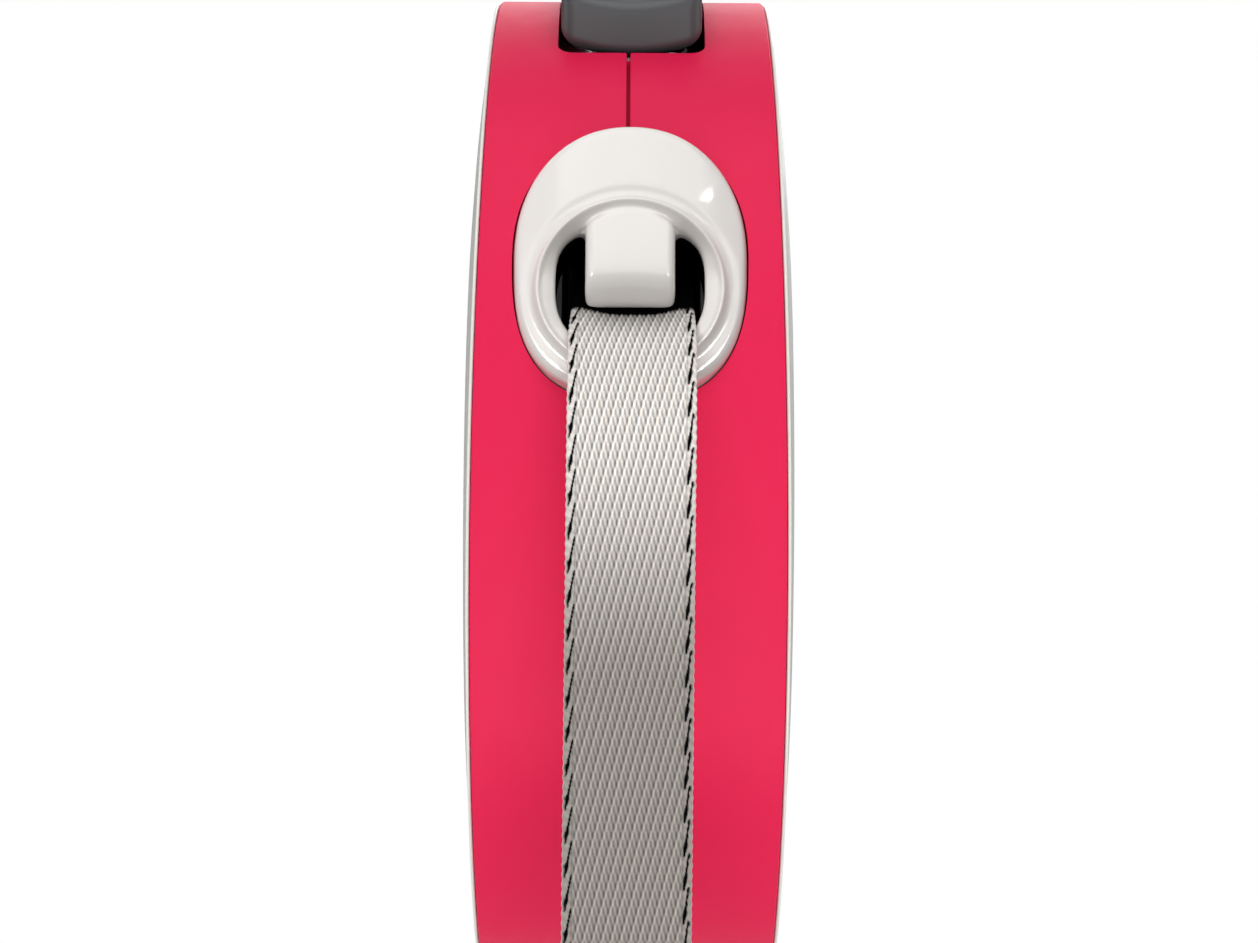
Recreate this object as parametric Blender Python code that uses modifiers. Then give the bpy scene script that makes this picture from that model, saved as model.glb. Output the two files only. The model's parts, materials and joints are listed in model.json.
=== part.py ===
"""Retractable dog leash: a tape reel in a handled casing, with a brake, a nozzle and a snap hook.

The constants are in millimetres and the meshes in metres. +Z is up, the nozzle faces -Y and
the width runs along X. Everything is laid out from the middle of the spool's axle, and moved at
the end, so that the origin is the middle of the grip face that the fingers close on.
"""
import math

import bmesh
import bpy
import numpy as np
from mathutils import Matrix, Vector

MM = 0.001
GAP = 0.3

# Casing: side outline as (y, z), with its flat base between the second and third points
OUTLINE = [(5, -57.3), (25, -57.3), (60, -57.3), (78, -57.3), (92, -56.2), (106, -51.5),
           (119, -37), (122, -14), (118, 12), (110, 36), (94, 55), (68, 65), (38, 67),
           (0, 65.5), (-25, 61.5), (-43, 51), (-53, 34.5), (-57.3, 14), (-56.3, -8),
           (-47.5, -32), (-30.5, -49.5), (-13, -55.8)]
RING_POINTS = 46
WALL = 2.2
SEAM = 0.15
EDGE_ROUND = 1.2
REEL_HALF_WIDTH = 18.6
GRIP_HALF_WIDTH = 13.4
NARROWING = (40, 85)
CROWN = 0.062
CROWN_CENTRE = -14
CROWN_REACH = 56
WEB_STEPS = (0.15, 0.35, 0.55, 0.72, 0.87)

# Handle opening: a tilted stadium
HOLE_CENTRE = np.array((80.0, 4.0))
HOLE_TILT = math.radians(10)
HOLE_HALF = 27
HOLE_R = 15
LINER = 2.7
HOLE_AXIS = np.array((-math.sin(HOLE_TILT), math.cos(HOLE_TILT)))
HOLE_ACROSS = np.array((math.cos(HOLE_TILT), math.sin(HOLE_TILT)))

# Side covers and their plain round badges
COVER_INSET = 1.4
COVER_HOLE = 4.5
COVER_RIM = 0.4
COVER_RISE = 1.67
BADGE_R = 21
BADGE_FACE = 20.97
BADGE_THICK = 1.0

# Reel
AXLE_R = 4
AXLE_HALF = 15.9
TAPE_HALF = 7.5
TAPE_THICK = 1.0
HUB_R = 20
COIL_R = 45
FLANGE_R = 49
CHANNEL_HALF = 8.2
FLANGE_OUT = 9.7
RATCHET_X = (-12.3, -10.0)
RATCHET_TEETH = 24
RATCHET_ROOT = 43.5
CUP_R = 36
CUP_END = 13.9
SPRING_TURNS = 5
SPRING_STEPS = 16

# Nozzle: its middle on the casing's front, leaning back by its tilt
NOZZLE_CENTRE = (0, -54.5, 30.5)
NOZZLE_TILT = math.radians(17)
PLATE_HALF = 13.8
PLATE_UP = 16.6
PLATE_DOWN = 17.1
PLATE_BACK = -5
PLATE_FACE = 2.0
NOZZLE_POINTS = 36
TONGUE_HALF = 5.1

# Tape outside the coil
EXIT = (-56, 23.8)
BEND_R = 18
HANG_END = -65.2

# Brake
BUTTON_CENTRE = (0, -22, 61.8)
BUTTON_TILT = math.radians(17.2)
BUTTON_HALF = (8.5, 15)
PAWL_PIVOT = (10, 58.5)
PAWL_TIP = (-24, 52)
PAWL_X = (-12.3, -5)
PAWL_ANGLE = math.radians(115)

# Clip end
STOPPER_Z = (-65.5, -54)
EYE_BAR_Z = -82.7
BARREL_Z = (-116, -98.3)
HOOK_TIP_Z = -128

SCREWS = {"screw_front": (-41, 42), "screw_top": (45, 57), "screw_bottom": (50, -46),
          "screw_rear_top": (97.8, 43), "screw_rear_bottom": (108.9, -36.7)}

RED = (0.745, 0.024, 0.08)
WHITE = (0.83, 0.80, 0.77)
GREY = (0.71, 0.76, 0.71)
DARK = (0.03, 0.03, 0.035)
STEEL = (0.62, 0.63, 0.65)
TAPE = (0.60, 0.57, 0.53)


# ---------------------------------------------------------------- scene helpers

def clear_scene():
    for obj in list(bpy.data.objects):
        bpy.data.objects.remove(obj)


def collection(name):
    group = bpy.data.collections.new(name)
    bpy.context.scene.collection.children.link(group)
    return group


def finish(obj, colour, roughness=0.4, metallic=0.0):
    """Give an object its own Principled material."""
    material = bpy.data.materials.new(obj.name)
    material.use_nodes = True
    shader = material.node_tree.nodes["Principled BSDF"]
    shader.inputs["Base Color"].default_value = (*colour, 1)
    shader.inputs["Roughness"].default_value = roughness
    shader.inputs["Metallic"].default_value = metallic
    obj.data.materials.append(material)
    return obj


def object_from(name, mesh_bm, matrix=None):
    """A part from a bmesh in millimetres, placed by an optional matrix in millimetres."""
    bmesh.ops.recalc_face_normals(mesh_bm, faces=mesh_bm.faces)
    if matrix is not None:
        mesh_bm.transform(matrix)
    mesh_bm.transform(Matrix.Scale(MM, 4))
    mesh = bpy.data.meshes.new(name)
    mesh_bm.to_mesh(mesh)
    mesh_bm.free()
    mesh.shade_smooth()
    mesh.set_sharp_from_angle(angle=math.radians(35))
    obj = bpy.data.objects.new(name, mesh)
    PARTS.objects.link(obj)
    return obj


def as_tool(obj):
    """Move a shape to the cutters: it only cuts or joins others."""
    PARTS.objects.unlink(obj)
    CUTTERS.objects.link(obj)
    obj.hide_render = True
    obj.display_type = "WIRE"
    return obj


def combine(obj, tool, operation):
    modifier = obj.modifiers.new(tool.name, "BOOLEAN")
    modifier.operation = operation
    modifier.solver = "EXACT"
    modifier.object = as_tool(tool) if tool.name in PARTS.objects else tool


def cut(obj, tool):
    combine(obj, tool, "DIFFERENCE")


def join(obj, tool):
    combine(obj, tool, "UNION")


def box(name, low, high, matrix=None, bevel=0.0):
    mesh_bm = bmesh.new()
    size = [b - a for a, b in zip(low, high)]
    middle = [(a + b) / 2 for a, b in zip(low, high)]
    bmesh.ops.create_cube(mesh_bm, size=1)
    mesh_bm.transform(Matrix.Translation(middle) @ Matrix.Diagonal((*size, 1)))
    if bevel:
        bmesh.ops.bevel(mesh_bm, geom=mesh_bm.edges[:], offset=bevel, segments=3, profile=0.5,
                        affect="EDGES")
    return object_from(name, mesh_bm, matrix)


def rod(name, start, end, radius, sides=24):
    """A cylinder between two points."""
    start = Vector(start)
    end = Vector(end)
    turn = (end - start).to_track_quat("Z", "Y").to_matrix().to_4x4()
    mesh_bm = bmesh.new()
    bmesh.ops.create_cone(mesh_bm, cap_ends=True, segments=sides, radius1=radius,
                          radius2=radius, depth=(end - start).length)
    return object_from(name, mesh_bm, Matrix.Translation((start + end) / 2) @ turn)


def x_rod(name, place, x_from, x_to, radius, sides=24):
    """A cylinder along X at a (y, z) place."""
    return rod(name, (x_from, *place), (x_to, *place), radius, sides)


def turned(name, profile, sides=32):
    """A closed (radius, x) profile turned about the X axis, outer side first from +x to -x."""
    mesh_bm = bmesh.new()
    points = [mesh_bm.verts.new((radius * MM, 0, height * MM)) for radius, height in profile]
    for index, point in enumerate(points):
        mesh_bm.edges.new((point, points[(index + 1) % len(points)]))
    mesh = bpy.data.meshes.new(name)
    mesh_bm.to_mesh(mesh)
    mesh_bm.free()
    obj = bpy.data.objects.new(name, mesh)
    obj.rotation_euler = (0, math.pi / 2, 0)
    PARTS.objects.link(obj)
    screw = obj.modifiers.new("turn", "SCREW")
    screw.steps = sides
    screw.render_steps = sides
    screw.use_merge_vertices = True
    screw.merge_threshold = 0.00001
    return obj


def mesh_from_curve(obj):
    """Replace a curve object by its welded mesh."""
    name = obj.name
    matrix = obj.matrix_world.copy()
    bpy.context.view_layer.update()
    evaluated = obj.evaluated_get(bpy.context.evaluated_depsgraph_get())
    mesh = bpy.data.meshes.new_from_object(evaluated)
    bpy.data.objects.remove(obj)
    mesh_bm = bmesh.new()
    mesh_bm.from_mesh(mesh)
    bmesh.ops.remove_doubles(mesh_bm, verts=mesh_bm.verts, dist=0.000005)
    bmesh.ops.recalc_face_normals(mesh_bm, faces=mesh_bm.faces)
    mesh_bm.to_mesh(mesh)
    mesh_bm.free()
    solid = bpy.data.objects.new(name, mesh)
    solid.matrix_world = matrix
    PARTS.objects.link(solid)
    return solid


def slab(name, outlines, x_from, x_to):
    """Flat (y, z) outlines, the first with the others as its holes, as thick as the x range."""
    curve = bpy.data.curves.new(name, "CURVE")
    curve.dimensions = "2D"
    curve.fill_mode = "BOTH"
    curve.extrude = (x_to - x_from) / 2 * MM
    for outline in outlines:
        spline = curve.splines.new("POLY")
        spline.points.add(len(outline) - 1)
        for point, (y, z) in zip(spline.points, outline):
            point.co = (y * MM, z * MM, 0, 1)
        spline.use_cyclic_u = True
    obj = bpy.data.objects.new(name, curve)
    to_world = Matrix(((0, 0, 1), (1, 0, 0), (0, 1, 0))).to_4x4()
    obj.matrix_world = Matrix.Translation(((x_from + x_to) / 2 * MM, 0, 0)) @ to_world
    PARTS.objects.link(obj)
    return mesh_from_curve(obj)


def wire(name, points, radius, closed=False, sides=2, smooth=False):
    """A round wire through the points."""
    curve = bpy.data.curves.new(name, "CURVE")
    curve.dimensions = "3D"
    curve.bevel_depth = radius * MM
    curve.bevel_resolution = sides
    curve.use_fill_caps = True
    if smooth:
        curve.resolution_u = 4
        spline = curve.splines.new("BEZIER")
        spline.bezier_points.add(len(points) - 1)
        for knot, point in zip(spline.bezier_points, points):
            knot.co = Vector(point) * MM
            knot.handle_left_type = "AUTO"
            knot.handle_right_type = "AUTO"
    else:
        spline = curve.splines.new("POLY")
        spline.points.add(len(points) - 1)
        for knot, point in zip(spline.points, points):
            knot.co = (*(Vector(point) * MM), 1)
    spline.use_cyclic_u = closed
    obj = bpy.data.objects.new(name, curve)
    PARTS.objects.link(obj)
    return mesh_from_curve(obj)


def ring_loft(name, rings, matrix=None):
    """A closed band lofted through rings of equal count, the last joined to the first."""
    mesh_bm = bmesh.new()
    rows = [[mesh_bm.verts.new(tuple(point)) for point in ring] for ring in rings]
    count = len(rows[0])
    for index, row in enumerate(rows):
        following = rows[(index + 1) % len(rows)]
        for step in range(count):
            after = (step + 1) % count
            mesh_bm.faces.new((row[step], row[after], following[after], following[step]))
    return object_from(name, mesh_bm, matrix)


def circle(centre, radius, count=24):
    """Points of a (y, z) circle."""
    return [(centre[0] + radius * math.cos(step * math.tau / count),
             centre[1] + radius * math.sin(step * math.tau / count)) for step in range(count)]


# ---------------------------------------------------------------- casing geometry

def spline_through(points, per_span=60):
    """A closed Catmull-Rom curve through the points."""
    knots = np.array(points, float)
    before = np.roll(knots, 1, axis=0)
    after = np.roll(knots, -1, axis=0)
    beyond = np.roll(knots, -2, axis=0)
    t = np.linspace(0, 1, per_span, endpoint=False)[None, :, None]
    a, b, c, d = (k[:, None, :] for k in (before, knots, after, beyond))
    curve = 0.5 * (2 * b + (c - a) * t + (2 * a - 5 * b + 4 * c - d) * t**2
                   + (3 * b - a - 3 * c + d) * t**3)
    return curve.reshape(-1, 2)


def place_ring_points():
    """Ring points on the outline, spread by length and by angle about the handle opening."""
    curve = spline_through(OUTLINE)
    step = np.roll(curve, -1, axis=0) - curve
    length = np.concatenate(([0], np.cumsum(np.linalg.norm(step, axis=1))))
    spoke = curve - HOLE_CENTRE
    angle = np.unwrap(np.arctan2(spoke[:, 1], spoke[:, 0]))
    angle = np.append(angle, angle[0] + math.tau)
    spread = 0.55 * length / length[-1] + 0.45 * (angle - angle[0]) / math.tau
    wanted = np.arange(RING_POINTS) / RING_POINTS
    where = np.interp(wanted, spread, np.arange(len(curve) + 1))
    index = np.arange(len(curve) + 1)
    closed = np.vstack((curve, curve[:1]))
    points = np.column_stack([np.interp(where, index, closed[:, axis]) for axis in (0, 1)])
    tangent = np.column_stack([np.interp(where + 0.5, index, closed[:, axis])
                               - np.interp(where - 0.5, index, closed[:, axis])
                               for axis in (0, 1)])
    tangent[0] = closed[1] - closed[-2]
    tangent /= np.linalg.norm(tangent, axis=1)[:, None]
    inward = np.column_stack((-tangent[:, 1], tangent[:, 0]))
    return points, inward


def outline_ring(inset):
    return RIM + RIM_INWARD * inset


def hole_ring(offset):
    """The handle opening grown by an offset, one point on each spoke to the outline."""
    radius = HOLE_R + offset
    spokes = RIM - HOLE_CENTRE
    spokes = spokes / np.linalg.norm(spokes, axis=1)[:, None]
    along = np.abs(spokes @ HOLE_AXIS)
    across = np.abs(spokes @ HOLE_ACROSS)
    to_side = radius / np.maximum(across, 1e-6)
    chord = along * HOLE_HALF
    to_end = chord + np.sqrt(np.maximum(chord**2 - HOLE_HALF**2 + radius**2, 0))
    reach = np.where(to_side * along <= HOLE_HALF, to_side, to_end)
    return HOLE_CENTRE + spokes * reach[:, None]


def half_width(points):
    """Half the casing's width at (y, z) places: full at the reel, narrow at the grip."""
    y, z = points[:, 0], points[:, 1]
    t = np.clip((y - NARROWING[0]) / (NARROWING[1] - NARROWING[0]), 0, 1)
    width = REEL_HALF_WIDTH + (GRIP_HALF_WIDTH - REEL_HALF_WIDTH) * t * t * (3 - 2 * t)
    return width * (1 - CROWN * ((z - CROWN_CENTRE) / CROWN_REACH)**2)


def width_at(place):
    return float(half_width(np.array([place], float))[0])


def lifted(points, x, side=1):
    """Place flat ring points at an x distance from the middle plane."""
    return np.column_stack((np.broadcast_to(side * x, len(points)), points))


def web(first, last, height, side):
    """Rings between two flat rings, on a surface given as a height function."""
    rings = []
    for step in WEB_STEPS:
        points = first * (1 - step) + last * step
        rings.append(lifted(points, height(points, step), side))
    return rings


def casing_half(name, side):
    outer, inner = outline_ring(0), outline_ring(WALL)
    bore, bore_inner = hole_ring(LINER + GAP), hole_ring(LINER + GAP + WALL)
    shoulder, top = outline_ring(0.3 * EDGE_ROUND), outline_ring(EDGE_ROUND)
    rings = [lifted(outer, SEAM, side), lifted(outer, half_width(outer) - EDGE_ROUND, side),
             lifted(shoulder, half_width(shoulder) - 0.3 * EDGE_ROUND, side),
             lifted(top, half_width(top), side)]
    rings += web(top, bore, lambda points, _: half_width(points), side)
    rings += [lifted(bore, half_width(bore), side), lifted(bore, SEAM, side),
              lifted(bore_inner, SEAM, side),
              lifted(bore_inner, half_width(bore_inner) - WALL, side)]
    rings += reversed(web(inner, bore_inner, lambda points, _: half_width(points) - WALL, side))
    rings += [lifted(inner, half_width(inner) - WALL, side), lifted(inner, SEAM, side)]
    return finish(ring_loft(name, rings), RED, 0.42)


def cover_height(points, step):
    return half_width(points) + GAP + COVER_RIM + COVER_RISE * math.sin(math.pi * step)**0.5


def side_cover(name, side):
    rim, hole = outline_ring(COVER_INSET), hole_ring(COVER_HOLE)
    under = [lifted(ring, half_width(ring) + GAP, side) for ring in (rim, hole)]
    over = [lifted(ring, half_width(ring) + GAP + COVER_RIM, side) for ring in (rim, hole)]
    rings = [under[0], over[0]] + web(rim, hole, cover_height, side) + [over[1], under[1]]
    rings += reversed(web(rim, hole, lambda points, _: half_width(points) + GAP, side))
    cover = finish(ring_loft(name, rings), GREY, 0.35)
    recess = x_rod(name + "_recess", (0, 0), side * (BADGE_FACE - BADGE_THICK - GAP),
                   side * (BADGE_FACE + 3), BADGE_R + GAP, 48)
    cut(cover, recess)
    return cover


def badge(name, side):
    disc = x_rod(name, (0, 0), side * (BADGE_FACE - BADGE_THICK), side * BADGE_FACE, BADGE_R, 48)
    return finish(disc, WHITE, 0.3)


def grip_liner():
    inner, lip, back = hole_ring(0), hole_ring(1), hole_ring(LINER)
    rings = []
    for side in (-1, 1):
        half = [lifted(back, half_width(back) + 0.2, side),
                lifted(lip, half_width(lip) + 0.2, side),
                lifted(inner, half_width(inner) - 0.8, side)]
        rings += half if side < 0 else reversed(half)
    return finish(ring_loft("grip_liner", rings), DARK, 0.7)


# ---------------------------------------------------------------- nozzle

def nozzle_matrix():
    turn = Matrix.Rotation(math.pi / 2 - NOZZLE_TILT, 4, "X")
    return Matrix.Translation(NOZZLE_CENTRE) @ turn


def plate_ring(inset, height):
    """The plate's outline: round above, fuller below."""
    ring = []
    for step in range(NOZZLE_POINTS):
        angle = step * math.tau / NOZZLE_POINTS
        across, up = math.cos(angle), math.sin(angle)
        power = 2 if up > 0 else 3
        reach = (abs(across)**power + abs(up)**power)**(-1 / power)
        tall = PLATE_UP if up > 0 else PLATE_DOWN
        ring.append(((PLATE_HALF - inset) * across * reach, (tall - inset) * up * reach, height))
    return ring


def oval_ring(half, centre, tall, height, power=2.0):
    ring = []
    for step in range(NOZZLE_POINTS):
        angle = step * math.tau / NOZZLE_POINTS
        across, up = math.cos(angle), math.sin(angle)
        reach = (abs(across)**power + abs(up)**power)**(-1 / power)
        ring.append((half * across * reach, centre + tall * up * reach, height))
    return ring


def nozzle():
    """The tape's mouth: a plate with a ring, a funnel, a throat and a tongue over the tape."""
    rings = [plate_ring(0, PLATE_BACK), plate_ring(0, PLATE_FACE - 0.8),
             plate_ring(0.8, PLATE_FACE), oval_ring(10.6, -3.8, 10.8, PLATE_FACE + 0.6, 2.8),
             oval_ring(9.4, -3.8, 7.6, -1.0, 4), oval_ring(9.4, -3.8, 7.7, -9, 4),
             oval_ring(10.7, -3.8, 9.0, -9, 4), oval_ring(10.7, -3.8, 9.0, PLATE_BACK, 4)]
    body = ring_loft("nozzle", rings, nozzle_matrix())
    tongue = box("nozzle_tongue", (-TONGUE_HALF, -6.0, 0.9), (TONGUE_HALF, 7.5, 3.3),
                 nozzle_matrix(), bevel=0.7)
    join(body, tongue)
    return finish(body, WHITE, 0.12)


def nozzle_window():
    rings = [plate_ring(-GAP, PLATE_BACK - 4), plate_ring(-GAP, PLATE_FACE + 6)]
    mesh_bm = bmesh.new()
    rows = [[mesh_bm.verts.new(point) for point in ring] for ring in rings]
    for step in range(NOZZLE_POINTS):
        after = (step + 1) % NOZZLE_POINTS
        mesh_bm.faces.new((rows[0][step], rows[0][after], rows[1][after], rows[1][step]))
    mesh_bm.faces.new(rows[0])
    mesh_bm.faces.new(rows[1])
    return as_tool(object_from("nozzle_window", mesh_bm, nozzle_matrix()))


# ---------------------------------------------------------------- reel

def spool_hub():
    profile = [(HUB_R, CHANNEL_HALF), (HUB_R, -CHANNEL_HALF), (FLANGE_R, -CHANNEL_HALF),
               (FLANGE_R, -FLANGE_OUT), (7.7, -FLANGE_OUT), (7.7, RATCHET_X[0] - 0.1),
               (AXLE_R + GAP, RATCHET_X[0] - 0.1), (AXLE_R + GAP, CHANNEL_HALF)]
    return finish(turned("spool_hub", profile), GREY, 0.5)


def spool_flange():
    """The far flange, with the cup that holds the power spring."""
    start = CHANNEL_HALF + GAP
    profile = [(CUP_R, CUP_END), (CUP_R, FLANGE_OUT), (FLANGE_R, FLANGE_OUT), (FLANGE_R, start),
               (AXLE_R + GAP, start), (AXLE_R + GAP, FLANGE_OUT), (CUP_R - 2, FLANGE_OUT),
               (CUP_R - 2, CUP_END)]
    return finish(turned("spool_flange", profile), GREY, 0.5)


def ratchet_wheel():
    outline = []
    pitch = math.tau / RATCHET_TEETH
    for tooth in range(RATCHET_TEETH):
        middle = PAWL_ANGLE + (tooth + 0.5) * pitch
        for turn, radius in ((-3.6, RATCHET_ROOT), (-2.6, FLANGE_R), (2.6, FLANGE_R),
                             (3.6, RATCHET_ROOT)):
            angle = middle + math.radians(turn)
            outline.append((radius * math.cos(angle), radius * math.sin(angle)))
    wheel = slab("ratchet_wheel", [outline, circle((0, 0), 8)], *RATCHET_X)
    return finish(wheel, DARK, 0.5)


def power_spring():
    """A flat spiral spring between the axle and the cup."""
    count = SPRING_TURNS * SPRING_STEPS
    centre = []
    for step in range(count + 1):
        angle = math.tau * step / SPRING_STEPS
        radius = AXLE_R + 1.2 + (CUP_R - 3.4 - AXLE_R - 1.2) * step / count
        centre.append((radius, angle))
    outer = [((r + 0.25) * math.cos(a), (r + 0.25) * math.sin(a)) for r, a in centre]
    inner = [((r - 0.25) * math.cos(a), (r - 0.25) * math.sin(a)) for r, a in reversed(centre)]
    spring = slab("power_spring", [outer + inner], FLANGE_OUT + 0.4, CUP_END - 0.4)
    return finish(spring, STEEL, 0.3, 1.0)


def spring_cover():
    profile = [(CUP_R, CUP_END + 1.0), (CUP_R, CUP_END + GAP), (AXLE_R + GAP, CUP_END + GAP),
               (AXLE_R + GAP, CUP_END + 1.0)]
    return finish(turned("spring_cover", profile), DARK, 0.5)


def tape_coil():
    profile = [(COIL_R, TAPE_HALF), (COIL_R, -TAPE_HALF), (HUB_R + GAP, -TAPE_HALF),
               (HUB_R + GAP, TAPE_HALF)]
    return finish(turned("tape_coil", profile), TAPE, 0.8)


def axle():
    return finish(x_rod("axle", (0, 0), -AXLE_HALF, AXLE_HALF, AXLE_R), STEEL, 0.3, 1.0)


def thrust_washer():
    start = RATCHET_X[0] - 0.4
    profile = [(7.5, start), (7.5, start - 0.6), (AXLE_R + GAP, start - 0.6),
               (AXLE_R + GAP, start)]
    return finish(turned("thrust_washer", profile, 28), STEEL, 0.4, 1.0)


# ---------------------------------------------------------------- tape outside the coil

def tape_path():
    """Middle line of the tape from the coil, through the nozzle, to where it hangs straight."""
    coil = COIL_R + TAPE_THICK / 2 + GAP
    reach = math.hypot(*EXIT)
    contact = math.atan2(EXIT[1], EXIT[0]) - math.acos(coil / reach)
    start = (coil * math.cos(contact), coil * math.sin(contact))
    fall = math.atan2(start[1] - EXIT[1], start[0] - EXIT[0])
    middle = (EXIT[0] + BEND_R * math.sin(fall), EXIT[1] - BEND_R * math.cos(fall))
    path = [start, EXIT]
    for step in range(1, 9):
        angle = math.pi / 2 + fall + (math.pi / 2 - fall) * step / 8
        path.append((middle[0] + BEND_R * math.cos(angle), middle[1] + BEND_R * math.sin(angle)))
    return path


def strip(name, path):
    """The tape along a (y, z) path."""
    line = np.array(path)
    tangent = np.gradient(line, axis=0)
    tangent /= np.linalg.norm(tangent, axis=1)[:, None]
    normal = np.column_stack((-tangent[:, 1], tangent[:, 0])) * TAPE_THICK / 2
    outline = [tuple(point) for point in line + normal]
    outline += [tuple(point) for point in (line - normal)[::-1]]
    return finish(slab(name, [outline], -TAPE_HALF, TAPE_HALF), TAPE, 0.8)


def tape_lead():
    return strip("tape_lead", tape_path())


def tape_hanging():
    y, z = tape_path()[-1]
    return strip("tape_hanging", [(y, z - GAP), (y, (z + HANG_END) / 2), (y, HANG_END)])


# ---------------------------------------------------------------- brake

def button_matrix():
    return Matrix.Translation(BUTTON_CENTRE) @ Matrix.Rotation(BUTTON_TILT, 4, "X")


def brake_button():
    half, reach = BUTTON_HALF
    cap = box("brake_button", (-half, -reach, -2), (half, reach, 5), button_matrix(), bevel=2)
    stem = box("button_stem", (-7.9, -2, -7.1), (-5.3, 2, -1), button_matrix())
    join(cap, stem)
    return finish(cap, DARK, 0.45)


def button_spring():
    turns, around = 3, 10
    points = []
    for step in range(turns * around + 1):
        angle = math.tau * step / around
        rise = -7.8 + 5.1 * step / (turns * around)
        local = Vector((4.5 + 2.2 * math.cos(angle), 2.2 * math.sin(angle), rise))
        points.append(button_matrix() @ local)
    return finish(wire("button_spring", points, 0.35, sides=1), STEEL, 0.3, 1.0)


def brake_pawl():
    """A lever on the pawl pin, with a tooth for the ratchet."""
    pivot, tip = np.array(PAWL_PIVOT, float), np.array(PAWL_TIP, float)
    along = math.atan2(*(tip - pivot)[::-1])
    outline = []
    for centre, radius, quarter in ((tip, 1.5, -math.pi / 2), (pivot, 3.2, math.pi / 2)):
        for step in range(9):
            angle = along + quarter + math.pi * step / 8
            outline.append((centre[0] + radius * math.cos(angle),
                            centre[1] + radius * math.sin(angle)))
    arm = slab("brake_pawl", [outline, circle(PAWL_PIVOT, 1.8, 16)], *PAWL_X)
    down = -tip / np.linalg.norm(tip)
    across = np.array((-down[1], down[0])) * 1.7
    foot = down * -(FLANGE_R + 0.8)
    tooth = [tuple(tip - across), tuple(tip + across), tuple(foot + across * 0.8),
             tuple(foot - across * 0.8)]
    join(arm, slab("pawl_tooth", [tooth], *RATCHET_X))
    return finish(arm, STEEL, 0.35, 1.0)


def pawl_pin():
    return finish(x_rod("pawl_pin", PAWL_PIVOT, -14, 12, 1.5, 16), STEEL, 0.3, 1.0)


def lock_slider():
    body = box("lock_slider", (-5, 3, 61.6), (5, 13.7, 68.3), bevel=0.8)
    join(body, box("lock_foot", (-7, 1, 62.0), (7, 15.7, 62.6)))
    join(body, box("lock_rib", (-4, 7.4, 67.8), (4, 9.2, 69.6)))
    return finish(body, DARK, 0.5)


# ---------------------------------------------------------------- clip end

def stopper(name, front):
    """One half of the clamp that keeps the tape's end outside the nozzle."""
    near, far = TAPE_THICK / 2 + GAP, TAPE_THICK / 2 + GAP + 2.6
    reach = sorted((CLIP_Y + front * near, CLIP_Y + front * far))
    shell = box(name, (-10, reach[0], STOPPER_Z[0]), (10, reach[1], STOPPER_Z[1]), bevel=0.7)
    return finish(shell, RED, 0.4)


def end_loop():
    outlines = []
    for radius in (3.6, 2.6):
        outline = []
        for z, start in ((-69.8, 0), (-82.0, math.pi)):
            for step in range(9):
                angle = start + math.pi * step / 8
                outline.append((CLIP_Y + radius * math.cos(angle), z + radius * math.sin(angle)))
        outlines.append(outline)
    return finish(slab("end_loop", outlines, -TAPE_HALF, TAPE_HALF), TAPE, 0.8)


def swivel_eye():
    corners = [(-9.5, EYE_BAR_Z), (9.5, EYE_BAR_Z), (9.5, -89), (3.5, -93), (-3.5, -93),
               (-9.5, -89)]
    points = [(x, CLIP_Y, z) for x, z in corners]
    eye = wire("swivel_eye", points, 1.6, closed=True)
    join(eye, rod("eye_collar", (0, CLIP_Y, -97.9), (0, CLIP_Y, -91.8), 3.6))
    join(eye, rod("eye_stem", (0, CLIP_Y, -100.6), (0, CLIP_Y, -97), 1.7))
    return finish(eye, STEEL, 0.2, 1.0)


def hook_body():
    path = [(2.6, -103.5), (9, -106), (14, -113), (15.4, -122), (12, -131.5), (5.5, -135.5),
            (0.8, -133), (0, HOOK_TIP_Z)]
    barrel = rod("hook_body", (0, CLIP_Y, BARREL_Z[0]), (0, CLIP_Y, BARREL_Z[1]), 4.4)
    arm = wire("hook_arm", [(x, CLIP_Y, z) for x, z in path], 2.2, smooth=True)
    join(barrel, arm)
    cut(barrel, rod("hook_bore", (0, CLIP_Y, BARREL_Z[0] - 1), (0, CLIP_Y, -97), 2.1))
    cut(barrel, box("hook_slot", (-1.5, CLIP_Y - 6, -114.6), (1.5, CLIP_Y, -104.2)))
    return finish(barrel, STEEL, 0.2, 1.0)


def snap_bolt():
    bolt = rod("snap_bolt", (0, CLIP_Y, HOOK_TIP_Z + GAP), (0, CLIP_Y, -109), 1.8)
    join(bolt, rod("bolt_knob", (0, CLIP_Y, -113), (0, CLIP_Y - 7, -113), 1.2, 16))
    return finish(bolt, STEEL, 0.25, 1.0)


def snap_spring():
    turns, around = 4, 10
    points = []
    for step in range(turns * around + 1):
        angle = math.tau * step / around
        points.append((1.4 * math.cos(angle), CLIP_Y + 1.4 * math.sin(angle),
                       -108.4 + 7.2 * step / (turns * around)))
    return finish(wire("snap_spring", points, 0.3, sides=1), STEEL, 0.3, 1.0)


# ---------------------------------------------------------------- fastening

def screw(name, place):
    width = width_at(place)
    profile = [(1.5, 11), (1.5, -(width - 1.7)), (2.7, -(width - 1.7)), (2.7, -(width - 0.5)),
               (0.9, -(width - 0.5)), (0.9, -(width - 1.2)), (0.05, -(width - 1.2)), (0.05, 11)]
    body = turned(name, profile, 16)
    body.location = (0, place[0] * MM, place[1] * MM)
    return finish(body, STEEL, 0.35, 1.0)


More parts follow.
